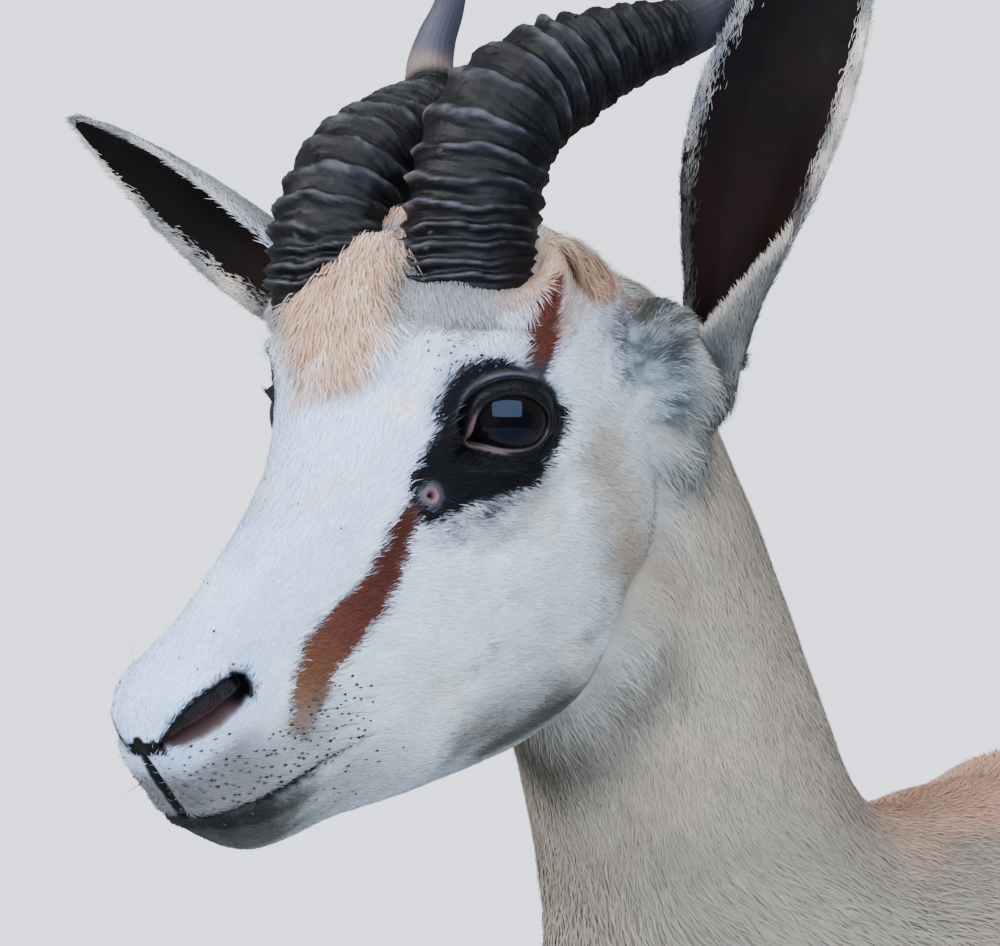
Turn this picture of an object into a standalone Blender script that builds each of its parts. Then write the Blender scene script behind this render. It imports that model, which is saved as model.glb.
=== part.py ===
# Springbok shoulder mount: hide over a form, two ringed horns, two glass eyes, back board and hanger.
# World frame in metres: the wall is the plane Y = 0, the animal looks towards -Y, +Z is up.
# Tables are in millimetres and scaled by MM as they are used.

import math

import bmesh
import bpy
import numpy as np
from mathutils import Matrix, Vector

MM = 0.001
FIT_GAP = 0.3  # clearance left between touching pieces

# The head is modelled level, nose towards -Y, its origin at the top of the cleft between the nostrils,
# then tilted and turned on the neck.
HEAD_PLACE = (42.0, -470.0, 150.0)
HEAD_TILT_DEG = 44.5
HEAD_TURN_DEG = 12.0

# Sections of the head from nose to nape: distance back from the nose, then half of the outline as
# (half width, height) from the mid top round the left side to the mid bottom.
HEAD_SECTIONS = [
    (-3, [(0, 1), (5, 0), (9, -6), (9, -16), (6, -25), (0, -27)]),
    (1, [(0, 7.5), (7, 6), (12.5, -2), (13, -16), (11, -33), (0, -39)]),
    (8, [(0, 11.5), (9, 9.5), (16.5, 0), (18.5, -17), (16.5, -43), (0, -56)]),
    (22, [(0, 12), (12, 10), (21.5, -1), (23.5, -20), (20, -50), (0, -67)]),
    (44, [(0, 9), (10, 7.5), (20, -5), (26, -27), (23, -59), (0, -80)]),
    (66, [(0, 6.5), (11, 4.5), (21, -9), (29.5, -37), (27, -77), (0, -95)]),
    (90, [(0, 4.5), (13, 2.5), (24, -11), (34.5, -45), (31.5, -89.5), (0, -111)]),
    (115, [(0, 4.5), (16, 2.5), (28, -12), (40, -52), (37, -103), (0, -126)]),
    (138, [(0, 8), (21, 5), (34, -9), (46.5, -56), (41, -109), (0, -133)]),
    (156, [(0, 16), (27, 13), (41, -6), (49, -57), (42, -106), (0, -130)]),
    (172, [(0, 22), (32, 19), (48, 2), (49, -56), (42, -102), (0, -124)]),
    (194, [(0, 25), (36, 23), (51, 5), (49, -54), (40, -98), (0, -116)]),
    (213, [(0, 20), (33, 17), (49, -7), (47, -57), (36, -90), (0, -107)]),
    (236, [(0, -3), (22, -8), (38, -28), (39, -58), (28, -79), (0, -92)]),
    (249, [(0, -26), (9, -29), (17, -40), (17, -58), (11, -68), (0, -72)]),
]

# Rounded volumes under the skin of the head: centre, radii and turn about the vertical, left side.
HEAD_SWELLINGS = [
    ((33.5, 163, -20.5), (18.5, 25, 20), 38),  # orbit
    ((33, 176, -66), (19, 36, 42), 0),  # jaw muscle
    ((46, 229, -64), (22, 20, 25), 0),  # ear root
    ((24, 192, 4), (31, 30, 22), 0),  # horn seat
]

# Muscles of the shoulder and breast, as swellings of the body's rings on both sides: angle down from
# the side, middle and reach along Y, reach round the ring in degrees, height.
BODY_MUSCLES = [
    (-12, -96, 46, 34, 9.0),  # shoulder
    (-58, -168, 40, 22, 8.0),  # breast
    (40, -70, 40, 24, 4.0),  # blade under the withers
]

# Rings of the neck and shoulders from the wall forward: centre, climb of the axis, half width, half height.
BODY_RINGS = [
    ((0, 30, -40), 0, 112, 166),
    ((0, 0, -40), 0, 116, 168),
    ((0, -40, -37), 2, 118, 168),
    ((0, -78, -24), 12, 113, 154),
    ((0, -112, -2), 24, 102, 136),
    ((0, -144, 30), 38, 88, 114),
    ((0, -176, 62), 51, 71, 83),
    ((0, -194, 97), 62, 54, 60),
    ((0, -211, 142), 67, 46, 55),
    ((0, -235, 198), 65, 43, 52),
    ((0, -259, 245), 63, 41, 48),
    ((0, -272, 270), 62, 38, 45),
    ((0, -279, 284), 62, 26, 30),
]

# Glass eyes: a ball in each orbit, seen through an almond opening between the lids.
EYE_CENTRE = (37.0, 162.9, -20.2)
EYE_RADIUS = 15.0
EYE_FACING = (0.75, -0.58, 0.23)
LID_OPENING = (18.5, 11.5, 12.0)  # half length, half height and half depth of the almond
LID_SLANT_DEG = 12.0

# Horn lines in the upright head frame, from the root under the skin to the tip: outward from the mid
# plane, back and up from the middle of the horn seats, with the diameter there.
HORN_SEAT = (190.0, 3.0)  # back along the face and height over it
HORN_LINES = {
    "left": [
        ((22.5, -2, -7), 27),
        ((22.7, -1.5, 4), 40),
        ((23, -1, 16), 45),
        ((23.3, 1.5, 33), 45),
        ((23.8, 6.5, 48), 44),
        ((25, 12.5, 57.5), 43),
        ((27, 22.5, 65.5), 40.5),
        ((30.5, 36, 72.5), 37),
        ((36, 52, 80), 31.5),
        ((43, 69.5, 86), 25.5),
        ((50, 89, 92.5), 19.5),
        ((55, 104, 103), 15.5),
        ((56.5, 112, 122), 12.5),
        ((53, 113, 143), 9.5),
        ((46, 107, 163), 6.3),
        ((36, 97, 178), 2.4),
    ],
    "right": [
        ((26, -7, -7), 27),
        ((26.5, -7, 3), 39),
        ((27, -6.5, 13), 44),
        ((27, -4.5, 23), 44),
        ((27.5, 1, 33), 43.5),
        ((28, 11, 41), 42),
        ((29.5, 22.5, 47.5), 39),
        ((32.5, 38, 54), 35),
        ((38, 55, 60.5), 29),
        ((45, 69, 66.5), 23),
        ((52, 78.5, 73.5), 18),
        ((56.5, 83, 82), 15),
        ((56.5, 85.5, 92), 12),
        ((52.5, 86, 103), 9.5),
        ((45, 83, 121), 7.5),
        ((37, 78, 137), 5.3),
        ((29, 72, 151), 2.2),
    ],
}
HORN_OVAL = 1.05  # front to back over side to side
HORN_SIDES = 12
RING_FIRST = 12.0  # along the horn from its buried root
RING_STEPS = [5.0, 5.2, 5.2, 5.4, 5.6, 6.0, 6.4, 7.0, 7.8, 8.6, 9.2, 9.6, 9.8, 9.8, 9.6, 9.2, 8.6, 8.0]
RING_HEIGHT = 1.9
HORN_CORE = 0.89  # core between the rings over the outside diameter
HORN_ROOM = 2.7  # how far the socket in the hide stands off the horn's core line

# Ears: root, tip and the way the cup opens, in the upright head frame, then length-wise table of
# share of length, half width and cup depth.
EARS = {
    "left": {"root": (61, 214, 116), "tip": (101, 243, 268), "open": (0.38, -0.9, 0.1), "bow": -7},
    "right": {"root": (-58, 208, 118), "tip": (-189, 190, 203), "open": (-0.33, -0.74, -0.55), "bow": 3},
}
EAR_TABLE = [
    (0.00, 9.5, 8),
    (0.12, 12, 12),
    (0.24, 17, 15),
    (0.38, 22, 16),
    (0.54, 24, 14),
    (0.69, 21.5, 10),
    (0.81, 16, 6.5),
    (0.92, 9, 3.5),
    (1.00, 2.2, 1),
]
EAR_THICKNESS = 3.2
EAR_ACROSS = 8  # steps across the cup

# Nostril and mouth, left side, in the level head's frame.
NOSTRIL = ((16.0, 10, -0.5), (5.4, 14.5, 4.6))
MOUTH_LINE = [
    (0, -2.5, -30),
    (9, 0.5, -31),
    (15.5, 5, -32.5),
    (20, 13, -36),
    (22.5, 23, -40),
    (24.5, 33, -43.5),
    (26, 45.5, -49),
    (28.5, 57.5, -55),
]
MOUTH_RADIUS = 2.0

# Back board, set into the hide so that its face stands a little proud of it.
BOARD_THICK = 18.0
BOARD_HALF = (104.0, 152.0)
BOARD_CENTRE_Z = -40.0
HIDE_BACK = -2.0

# Hanger: a steel plate let into the board over a pocket for the head of the wall screw.
HANGER_SIZE = (70.0, 2.5, 34.0)
HANGER_Z = 62.0
HANGER_SLOT = (12.0, 6.0)  # round entry and slot above it
POCKET_DEPTH = 13.0
SCREW_HEAD = (4.2, 2.0)
SCREW_SHANK = (1.9, 12.0)
SCREW_OFFSET = 27.0

REMESH_VOXEL = 3.2
SMOOTH_TURNS = 9
HIDE_TRIANGLES = 3500


def clear_scene():
    for thing in list(bpy.data.objects):
        bpy.data.objects.remove(thing, do_unlink=True)


def collection(name):
    made = bpy.data.collections.new(name)
    bpy.context.scene.collection.children.link(made)
    return made


def finish(name, colour, roughness, metallic=0.0):
    made = bpy.data.materials.new(name)
    made.use_nodes = True
    shader = made.node_tree.nodes["Principled BSDF"]
    shader.inputs["Base Color"].default_value = (*colour, 1.0)
    shader.inputs["Roughness"].default_value = roughness
    shader.inputs["Metallic"].default_value = metallic
    return made


def head_matrix():
    turn = Matrix.Rotation(math.radians(HEAD_TURN_DEG), 4, "Z")
    tilt = Matrix.Rotation(math.radians(HEAD_TILT_DEG), 4, "X")
    return Matrix.Translation(Vector(HEAD_PLACE) * MM) @ turn @ tilt @ Matrix.Scale(MM, 4)


def upright_matrix():
    """Head origin and turn, without the tilt."""
    turn = Matrix.Rotation(math.radians(HEAD_TURN_DEG), 4, "Z")
    return Matrix.Translation(Vector(HEAD_PLACE) * MM) @ turn @ Matrix.Scale(MM, 4)


def tilted(point):
    """A point of the level head in the upright head frame."""
    return Matrix.Rotation(math.radians(HEAD_TILT_DEG), 3, "X") @ Vector(point)


def through(points, per_span, closed=False):
    """A smooth Catmull-Rom line through the points."""
    pts = [np.array(p, float) for p in points]
    count = len(pts)
    spans = count if closed else count - 1
    line = []
    for i in range(spans):
        if closed:
            a, b, c, d = (pts[(i + k - 1) % count] for k in range(4))
        else:
            b, c = pts[i], pts[i + 1]
            a = pts[i - 1] if i else 2 * b - c
            d = pts[i + 2] if i + 2 < count else 2 * c - b
        for step in range(per_span):
            t = step / per_span
            line.append(
                0.5 * (2 * b + (c - a) * t + (2 * a - 5 * b + 4 * c - d) * t**2 + (3 * b - a - 3 * c + d) * t**3)
            )
    if not closed:
        line.append(pts[-1])
    return line


def loft(bm, rings, matrix):
    """Closed skin over a row of rings with equal numbers of points."""
    rows = [[bm.verts.new(matrix @ Vector(p)) for p in ring] for ring in rings]
    for near, far in zip(rows, rows[1:]):
        for i in range(len(near)):
            j = (i + 1) % len(near)
            bm.faces.new((near[i], near[j], far[j], far[i]))
    bm.faces.new(list(reversed(rows[0])))
    bm.faces.new(rows[-1])
    return rows


def new_object(name, bm, where, material=None):
    bmesh.ops.recalc_face_normals(bm, faces=bm.faces)
    mesh = bpy.data.meshes.new(name)
    bm.to_mesh(mesh)
    bm.free()
    made = bpy.data.objects.new(name, mesh)
    where.objects.link(made)
    if material:
        mesh.materials.append(material)
    return made


def as_cutter(made):
    made.hide_render = True
    made.display_type = "WIRE"
    return made


def boolean(target, other, operation):
    made = target.modifiers.new(other.name, "BOOLEAN")
    made.operation = operation
    made.object = other


def head_rings():
    rings = []
    for half in range(len(HEAD_SECTIONS[0][1])):
        track = [(u, *points[half]) for u, points in HEAD_SECTIONS]
        rings.append(through(track, 3))
    along = len(rings[0])
    made = []
    for i in range(along):
        left = [rings[half][i] for half in range(len(rings))]
        u = left[0][0]
        outline = [(w, h) for _, w, h in left] + [(-w, h) for _, w, h in reversed(left[1:-1])]
        made.append([(w, u, h) for w, h in through(outline, 4, closed=True)])
    return made


def muscle(angle, y, half_width):
    """Height of the muscles at this angle up from the side, fading out towards the neck."""
    height = 0.0
    for middle, along, reach_along, reach_round, rise in BODY_MUSCLES:
        off = ((angle - middle) / reach_round) ** 2 + ((y - along) / reach_along) ** 2
        height += rise * math.exp(-off)
    return height * min(1.0, max(0.0, (half_width - 50) / 30))


def body_rings():
    track = through([(*c, climb, a, b) for c, climb, a, b in BODY_RINGS], 3)
    made = []
    for x, y, z, climb, a, b in track:
        climb = math.radians(climb)
        up = Vector((0, math.sin(climb), math.cos(climb)))
        ring = []
        for k in range(40):
            angle = 2 * math.pi * k / 40
            lean = 1 - 0.10 * math.sin(angle)  # narrower over the spine than at the chest
            across, rise = math.cos(angle), math.sin(angle)
            spot = Vector((x, y, z)) + Vector((a * lean * across, 0, 0)) + up * b * rise
            outward = (Vector((across, 0, 0)) + up * rise).normalized()
            ring.append(spot + outward * muscle(math.degrees(math.asin(rise)), spot.y, a))
        made.append(ring)
    return made


def swelling(bm, centre, radii, turn, matrix):
    for side in (1, -1):
        local = (
            Matrix.Translation((side * centre[0], centre[1], centre[2]))
            @ Matrix.Rotation(math.radians(side * turn), 4, "Z")
            @ Matrix.Diagonal((*radii, 1))
        )
        bmesh.ops.create_icosphere(bm, subdivisions=3, radius=1, matrix=matrix @ local)


def hide_form(parts, material):
    bm = bmesh.new()
    loft(bm, head_rings(), head_matrix())
    loft(bm, body_rings(), Matrix.Scale(MM, 4))
    bmesh.ops.recalc_face_normals(bm, faces=bm.faces)
    for centre, radii, turn in HEAD_SWELLINGS:
        swelling(bm, centre, radii, turn, head_matrix())
    made = new_object("hide", bm, parts, material)
    remesh = made.modifiers.new("one skin", "REMESH")
    remesh.mode = "VOXEL"
    remesh.voxel_size = REMESH_VOXEL * MM
    smooth = made.modifiers.new("soften", "SMOOTH")
    smooth.factor = 0.5
    smooth.iterations = SMOOTH_TURNS
    return made


def thin_out(made, triangles):
    """Decimate to about this many triangles, keeping the finer forms of the head."""
    graph = bpy.context.evaluated_depsgraph_get()
    shown = made.evaluated_get(graph).to_mesh()
    shown.calc_loop_triangles()
    have = len(shown.loop_triangles)
    thin = made.modifiers.new("fewer faces", "DECIMATE")
    thin.ratio = triangles / have


def frame_at(direction, hint):
    """Two unit vectors square to a direction, the first as near as can be to the hint."""
    direction = Vector(direction).normalized()
    first = Vector(hint) - direction * Vector(hint).dot(direction)
    first.normalize()
    return direction, first, direction.cross(first)


def horn_track(name):
    """Points along the horn with arc length and diameter."""
    track = through([(*p, d) for p, d in HORN_LINES[name]], 12)
    places = [Vector(row[:3]) for row in track]
    length = [0.0]
    for a, b in zip(places, places[1:]):
        length.append(length[-1] + (b - a).length)
    return places, length, [row[3] for row in track]


def ring_places():
    places = [RING_FIRST]
    for step in RING_STEPS:
        places.append(places[-1] + step)
    return places


def horn_stations(total):
    """Arc lengths of the rings' feet and crests, then an even run to the tip."""
    rows = [(0.0, 0.0), (RING_FIRST - 5.0, 0.0)]
    rings = ring_places()
    for here, after in zip(rings, rings[1:]):
        step = after - here
        fade = min(1.0, (rings[-1] + 20 - here) / 70)
        rows += [(here, 0.0), (here + 0.66 * step, fade)]
    s = rings[-1]
    while s < total - 6:
        rows.append((s, 0.0))
        s += 11.0
    rows.append((total, 0.0))
    return rows


def horn_rings(name, widen=0.0, rings=True, until=0.0):
    side = 1 if name == "left" else -1
    places, length, diameter = horn_track(name)
    seat = tilted((0, *HORN_SEAT))
    made = []
    stations = horn_stations(length[-1]) if rings else [(until * k / 8, 0.0) for k in range(9)]
    for s, bump in stations:
        here = float(np.interp(s, length, range(len(length))))
        i = min(int(here), len(places) - 2)
        spot = places[i].lerp(places[i + 1], here - i)
        forward = (places[i + 1] - places[i]).normalized()
        if s == 0.0 and widen:
            spot = spot - forward * 2 * FIT_GAP  # the socket's floor, under the root
        radius = float(np.interp(s, length, diameter)) * HORN_CORE / 2 + widen
        grow = bump * RING_HEIGHT * min(1.0, radius / 14)
        _, front, across = frame_at(forward, (0, -1, 0.4))
        ring = []
        for k in range(HORN_SIDES):
            angle = 2 * math.pi * k / HORN_SIDES
            swell = grow * (0.75 + 0.25 * math.cos(angle))
            out = (radius + swell) * (front * math.cos(angle) * HORN_OVAL + across * math.sin(angle))
            p = spot + out
            ring.append((side * p.x, p.y + seat.y, p.z + seat.z))
        made.append(ring)
    return made


def horn(name, parts, material):
    bm = bmesh.new()
    loft(bm, horn_rings(name), upright_matrix())
    return new_object(f"horn_{name}", bm, parts, material)


def horn_socket(name, cutters):
    bm = bmesh.new()
    loft(bm, horn_rings(name, widen=HORN_ROOM, rings=False, until=80.0), upright_matrix())
    return as_cutter(new_object(f"horn_socket_{name}", bm, cutters))


def ear_rings(shape):
    root, tip = Vector(shape["root"]), Vector(shape["tip"])
    axis, opening, across = frame_at(tip - root, shape["open"])
    length = (tip - root).length
    table = [[float(v) for v in row] for row in through(EAR_TABLE, 2)]
    made = []
    for share, half, depth in table:
        centre = root + axis * length * share + across * shape["bow"] * 4 * share * (1 - share)
        thick = EAR_THICKNESS * (1.0 if share < 0.9 else 0.6)
        inner, outer = [], []
        for k in range(EAR_ACROSS + 1):
            t = 2 * k / EAR_ACROSS - 1
            rim = 0.35 + 0.65 * math.sqrt(max(0.0, 1 - t * t))
            cup = depth * (t * t - 0.5)
            inner.append(centre + across * half * t + opening * (cup + 0.5 * thick * rim))
            outer.append(centre + across * half * t * 1.04 + opening * (cup - 0.5 * thick * rim))
        made.append(inner + outer[::-1])
    return made


def ear(name, shape, cutters):
    bm = bmesh.new()
    loft(bm, ear_rings(shape), upright_matrix())
    return as_cutter(new_object(name, bm, cutters))


def ball(name, centre, radii, rotation, where, segments=24, material=None):
    bm = bmesh.new()
    matrix = head_matrix() @ Matrix.Translation(centre) @ rotation @ Matrix.Diagonal((*radii, 1))
    bmesh.ops.create_uvsphere(bm, u_segments=segments, v_segments=segments // 2, radius=1, matrix=matrix)
    return new_object(name, bm, where, material)


def eye_rotation(side):
    """Local Z out of the eye, local X along the slant of the lids."""
    out = Vector((side * EYE_FACING[0], EYE_FACING[1], EYE_FACING[2])).normalized()
    slant = math.radians(LID_SLANT_DEG)
    along = Vector((0, math.cos(slant), -math.sin(slant)))
    out, along, third = frame_at(out, along)
    return Matrix((along, out.cross(along), out)).transposed().to_4x4()


def eyes(hide, parts, cutters, glass):
    for side, name in ((1, "left"), (-1, "right")):
        turn = eye_rotation(side)
        centre = Vector((side * EYE_CENTRE[0], EYE_CENTRE[1], EYE_CENTRE[2]))
        radius = (EYE_RADIUS,) * 3
        ball(f"eye_{name}", centre, radius, turn, parts, 16, glass)
        room = (EYE_RADIUS + FIT_GAP,) * 3
        socket = as_cutter(ball(f"eye_socket_{name}", centre, room, turn, cutters, 16))
        front = centre + turn.to_3x3() @ Vector((0, 0, EYE_RADIUS))
        almond = as_cutter(ball(f"eye_opening_{name}", front, LID_OPENING, turn, cutters, 16))
        boolean(hide, almond, "DIFFERENCE")
        boolean(hide, socket, "DIFFERENCE")


def nostrils(hide, cutters):
    centre, radii = NOSTRIL
    for side, name in ((1, "left"), (-1, "right")):
        turn = Matrix.Rotation(math.radians(side * -22), 4, "Z") @ Matrix.Rotation(math.radians(8), 4, "X")
        spot = (side * centre[0], centre[1], centre[2])
        cutter = as_cutter(ball(f"nostril_{name}", spot, radii, turn, cutters, 12))
        boolean(hide, cutter, "DIFFERENCE")


def mouth(hide, cutters):
    """One groove from corner to corner, round the front of the lips."""
    half = MOUTH_LINE[1:]
    points = [(-x, y, z) for x, y, z in reversed(half)] + [MOUTH_LINE[0]] + half
    line = through(points, 2)
    bm = bmesh.new()
    rings = []
    for i, p in enumerate(line):
        ahead = Vector(line[min(i + 1, len(line) - 1)]) - Vector(line[max(i - 1, 0)])
        _, first, second = frame_at(ahead, (0, 0, 1))
        rings.append(
            [
                Vector(p) + MOUTH_RADIUS * (first * math.cos(a) + second * math.sin(a))
                for a in (2 * math.pi * k / 6 for k in range(6))
            ]
        )
    loft(bm, rings, head_matrix())
    boolean(hide, as_cutter(new_object("mouth_groove", bm, cutters)), "DIFFERENCE")


def oval_prism(name, half, centre_z, front, back, where, material=None, sides=40):
    """An upright oval slab between two Y planes."""
    bm = bmesh.new()
    bmesh.ops.create_cone(
        bm, cap_ends=True, segments=sides, radius1=1, radius2=1, depth=1, matrix=Matrix.Rotation(math.pi / 2, 4, "X")
    )
    size = Matrix.Diagonal((half[0] * MM, (back - front) * MM, half[1] * MM, 1))
    middle = Matrix.Translation(Vector((0, (front + back) / 2, centre_z)) * MM)
    bmesh.ops.transform(bm, matrix=middle @ size, verts=bm.verts)
    return new_object(name, bm, where, material)


def block(name, size, centre, where, material=None):
    bm = bmesh.new()
    matrix = Matrix.Translation(Vector(centre) * MM) @ Matrix.Diagonal((*(Vector(size) * MM), 1))
    bmesh.ops.create_cube(bm, size=1, matrix=matrix)
    return new_object(name, bm, where, material)


def rod(name, radius, front, back, centre, where, material=None, sides=12):
    """A round bar along Y between two planes."""
    bm = bmesh.new()
    bmesh.ops.create_cone(
        bm,
        cap_ends=True,
        segments=sides,
        radius1=radius * MM,
        radius2=radius * MM,
        depth=(back - front) * MM,
        matrix=Matrix.Translation(Vector((centre[0], (front + back) / 2, centre[1])) * MM)
        @ Matrix.Rotation(math.pi / 2, 4, "X"),
    )
    return new_object(name, bm, where, material)


def back_of_mount(hide, parts, cutters, wood, steel):
    far = block("behind_wall", (600, 200, 900), (0, HIDE_BACK + 100, 0), cutters)
    boolean(hide, as_cutter(far), "DIFFERENCE")
    room = (BOARD_HALF[0] + FIT_GAP, BOARD_HALF[1] + FIT_GAP)
    seat = oval_prism("board_seat", room, BOARD_CENTRE_Z, -BOARD_THICK - FIT_GAP, 20, cutters)
    boolean(hide, as_cutter(seat), "DIFFERENCE")

    board = oval_prism("back_board", BOARD_HALF, BOARD_CENTRE_Z, -BOARD_THICK, 0, parts, wood)
    width, thick, tall = HANGER_SIZE
    rebate = block(
        "hanger_rebate",
        (width + 2 * FIT_GAP, 2 * (thick + 2 * FIT_GAP), tall + 2 * FIT_GAP),
        (0, 0, HANGER_Z),
        cutters,
    )
    boolean(board, as_cutter(rebate), "DIFFERENCE")
    pocket = block("screw_pocket", (22, 2 * POCKET_DEPTH, 26), (0, 0, HANGER_Z), cutters)
    boolean(board, as_cutter(pocket), "DIFFERENCE")

    face = -FIT_GAP
    plate = block("hanger_plate", (width, thick, tall), (0, face - thick / 2, HANGER_Z), parts, steel)
    entry = rod("slot_entry", HANGER_SLOT[0] / 2, -10, 5, (0, HANGER_Z - 5), cutters, sides=16)
    slot = block("slot_run", (HANGER_SLOT[1], 15, 14), (0, -2, HANGER_Z + 3), cutters)
    boolean(plate, as_cutter(entry), "DIFFERENCE")
    boolean(plate, as_cutter(slot), "DIFFERENCE")
    for side, name in ((1, "left"), (-1, "right")):
        x = side * SCREW_OFFSET
        shank_room = SCREW_SHANK[0] + FIT_GAP
        hole = rod(f"screw_hole_{name}", shank_room, -SCREW_SHANK[1] - thick - 1, 5, (x, HANGER_Z), cutters)
        boolean(plate, as_cutter(hole), "DIFFERENCE")
        boolean(board, hole, "DIFFERENCE")
        sink = rod(f"screw_sink_{name}", SCREW_HEAD[0] + FIT_GAP, face - SCREW_HEAD[1] + 0.3, 5, (x, HANGER_Z), cutters)
        boolean(plate, as_cutter(sink), "DIFFERENCE")
        bm = bmesh.new()
        profile = [
            (SCREW_HEAD[0], face - 0.1),
            (SCREW_HEAD[0], face - SCREW_HEAD[1] + 0.9),
            (SCREW_SHANK[0], face - SCREW_HEAD[1] + 0.6),
            (SCREW_SHANK[0], face - thick - SCREW_SHANK[1] + 3),
            (0.5, face - thick - SCREW_SHANK[1]),
        ]
        rings = [
            [
                Vector((x + r * math.cos(a), y, HANGER_Z + r * math.sin(a)))
                for a in (2 * math.pi * k / 12 for k in range(12))
            ]
            for r, y in profile
        ]
        loft(bm, rings, Matrix.Scale(MM, 4))
        new_object(f"hanger_screw_{name}", bm, parts, steel)


def main():
    clear_scene()
    parts = collection("springbok_shoulder_mount")
    cutters = collection("cutters")
    cutters.hide_render = True
    coat = finish("hide coat", (0.74, 0.70, 0.64), 0.85)
    keratin = finish("horn keratin", (0.045, 0.045, 0.05), 0.45)
    glass = finish("glass eye", (0.02, 0.015, 0.012), 0.05)
    wood = finish("plywood", (0.55, 0.38, 0.22), 0.7)
    steel = finish("zinc plated steel", (0.62, 0.62, 0.60), 0.35, 1.0)

    hide = hide_form(parts, coat)
    thin_out(hide, HIDE_TRIANGLES)
    for name, shape in EARS.items():
        boolean(hide, ear(f"ear_{name}", shape, cutters), "UNION")
    for name in HORN_LINES:
        horn(name, parts, keratin)
        boolean(hide, horn_socket(name, cutters), "DIFFERENCE")
    eyes(hide, parts, cutters, glass)
    nostrils(hide, cutters)
    mouth(hide, cutters)
    back_of_mount(hide, parts, cutters, wood, steel)


main()
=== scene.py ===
import math
from functools import cache

import bmesh
import bpy
import numpy as np
from mathutils import Matrix, Vector
from mathutils.kdtree import KDTree


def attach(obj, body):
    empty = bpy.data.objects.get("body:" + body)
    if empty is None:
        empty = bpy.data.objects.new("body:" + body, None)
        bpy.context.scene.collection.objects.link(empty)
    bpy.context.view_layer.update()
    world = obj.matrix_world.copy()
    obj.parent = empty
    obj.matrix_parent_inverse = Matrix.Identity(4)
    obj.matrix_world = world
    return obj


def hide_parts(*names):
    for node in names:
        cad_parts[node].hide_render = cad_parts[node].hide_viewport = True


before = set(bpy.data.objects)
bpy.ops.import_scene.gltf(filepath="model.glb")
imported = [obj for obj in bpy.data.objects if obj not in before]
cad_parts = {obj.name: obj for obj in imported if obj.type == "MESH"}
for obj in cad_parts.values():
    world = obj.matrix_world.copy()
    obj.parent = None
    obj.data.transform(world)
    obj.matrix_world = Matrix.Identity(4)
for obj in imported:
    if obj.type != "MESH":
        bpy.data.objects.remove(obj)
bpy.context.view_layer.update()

# Springbok shoulder mount. Tables are in millimetres; the head's tables lie in the head's own frame:
# out to the animal's left, back from the nose, up.
mm = 0.001
headPlace = {"nose": (42.0, -470.0, 150.0), "tilt": 44.5, "turn": 12.0}
dice = np.random.default_rng(4127)


# small helpers

def linear(hexColour):
    parts = [int(hexColour[i:i + 2], 16) / 255 for i in (1, 3, 5)]
    return [p / 12.92 if p <= 0.04045 else ((p + 0.055) / 1.055) ** 2.4 for p in parts]


def colour(hexColour):
    return (*linear(hexColour), 1.0)


def smoothStep(low, high, x):
    t = np.clip((x - low) / (high - low), 0, 1)
    return t * t * (3 - 2 * t)


def through(points, perSpan, closed=False):
    # a smooth line through the points
    pts = [np.array(p, float) for p in points]
    count = len(pts)
    line = []
    for i in range(count if closed else count - 1):
        if closed:
            a, b, c, d = (pts[(i + k - 1) % count] for k in range(4))
        else:
            b, c = pts[i], pts[i + 1]
            a = pts[i - 1] if i else 2 * b - c
            d = pts[i + 2] if i + 2 < count else 2 * c - b
        for step in range(perSpan):
            t = step / perSpan
            line.append(0.5 * (2 * b + (c - a) * t + (2 * a - 5 * b + 4 * c - d) * t**2
                               + (3 * b - a - 3 * c + d) * t**3))
    if not closed:
        line.append(pts[-1])
    return line


def alongLine(points, line):
    # distance of every point to a run of straight pieces, and how far along it lies, 0 to 1
    line = np.array(line, float)
    steps = np.linalg.norm(np.diff(line, axis=0), axis=1)
    reach = np.concatenate([[0], np.cumsum(steps)]) / steps.sum()
    best = np.full(len(points), 1e9)
    place = np.zeros(len(points))
    for i in range(len(line) - 1):
        ab = line[i + 1] - line[i]
        t = np.clip(((points - line[i]) @ ab) / (ab @ ab), 0, 1)
        d = np.linalg.norm(points - line[i] - t[:, None] * ab, axis=1)
        closer = d < best
        best[closer] = d[closer]
        place[closer] = (reach[i] + t * (reach[i + 1] - reach[i]))[closer]
    return best, place


def clouds(points, size, seed, layers=2):
    # soft noise about 0, from -1 to 1, its lumps about this size in mm
    roll = np.random.default_rng(seed)
    total = np.zeros(len(points))
    weight = 0.0
    for layer in range(layers):
        part = np.zeros(len(points))
        for _ in range(7):
            way = roll.normal(size=3)
            way *= 2 ** layer * math.pi / size / np.linalg.norm(way) * roll.uniform(0.6, 1.5)
            part += np.sin(points @ way + roll.uniform(0, 6.28))
        total += part / 3.2 / 1.7 ** layer
        weight += 1 / 1.7 ** layer
    return np.clip(total / weight, -1, 1)


def headMatrix(tilted=True):
    made = Matrix.Translation(Vector(headPlace["nose"]) * mm)
    made = made @ Matrix.Rotation(math.radians(headPlace["turn"]), 4, "Z")
    if tilted:
        made = made @ Matrix.Rotation(math.radians(headPlace["tilt"]), 4, "X")
    return made @ Matrix.Scale(mm, 4)


def headTurn(tilted=True):
    return np.array(headMatrix(tilted).to_3x3().normalized())


def applied(matrix, points):
    m = np.array(matrix)
    return points @ m[:3, :3].T + m[:3, 3]


def inHead(points):
    return applied(headMatrix().inverted(), points)


def inUpright(points):
    # the head's frame before it is tipped down, which the ears' and horns' tables use
    return applied(headMatrix(False).inverted(), points)


def folded(points):
    # both sides laid on the animal's left
    return np.stack([np.abs(points[:, 0]), points[:, 1], points[:, 2]], 1)


def frameAt(direction, hint):
    direction = Vector(direction).normalized()
    first = Vector(hint) - direction * Vector(hint).dot(direction)
    first.normalize()
    return direction, first, direction.cross(first)


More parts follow.
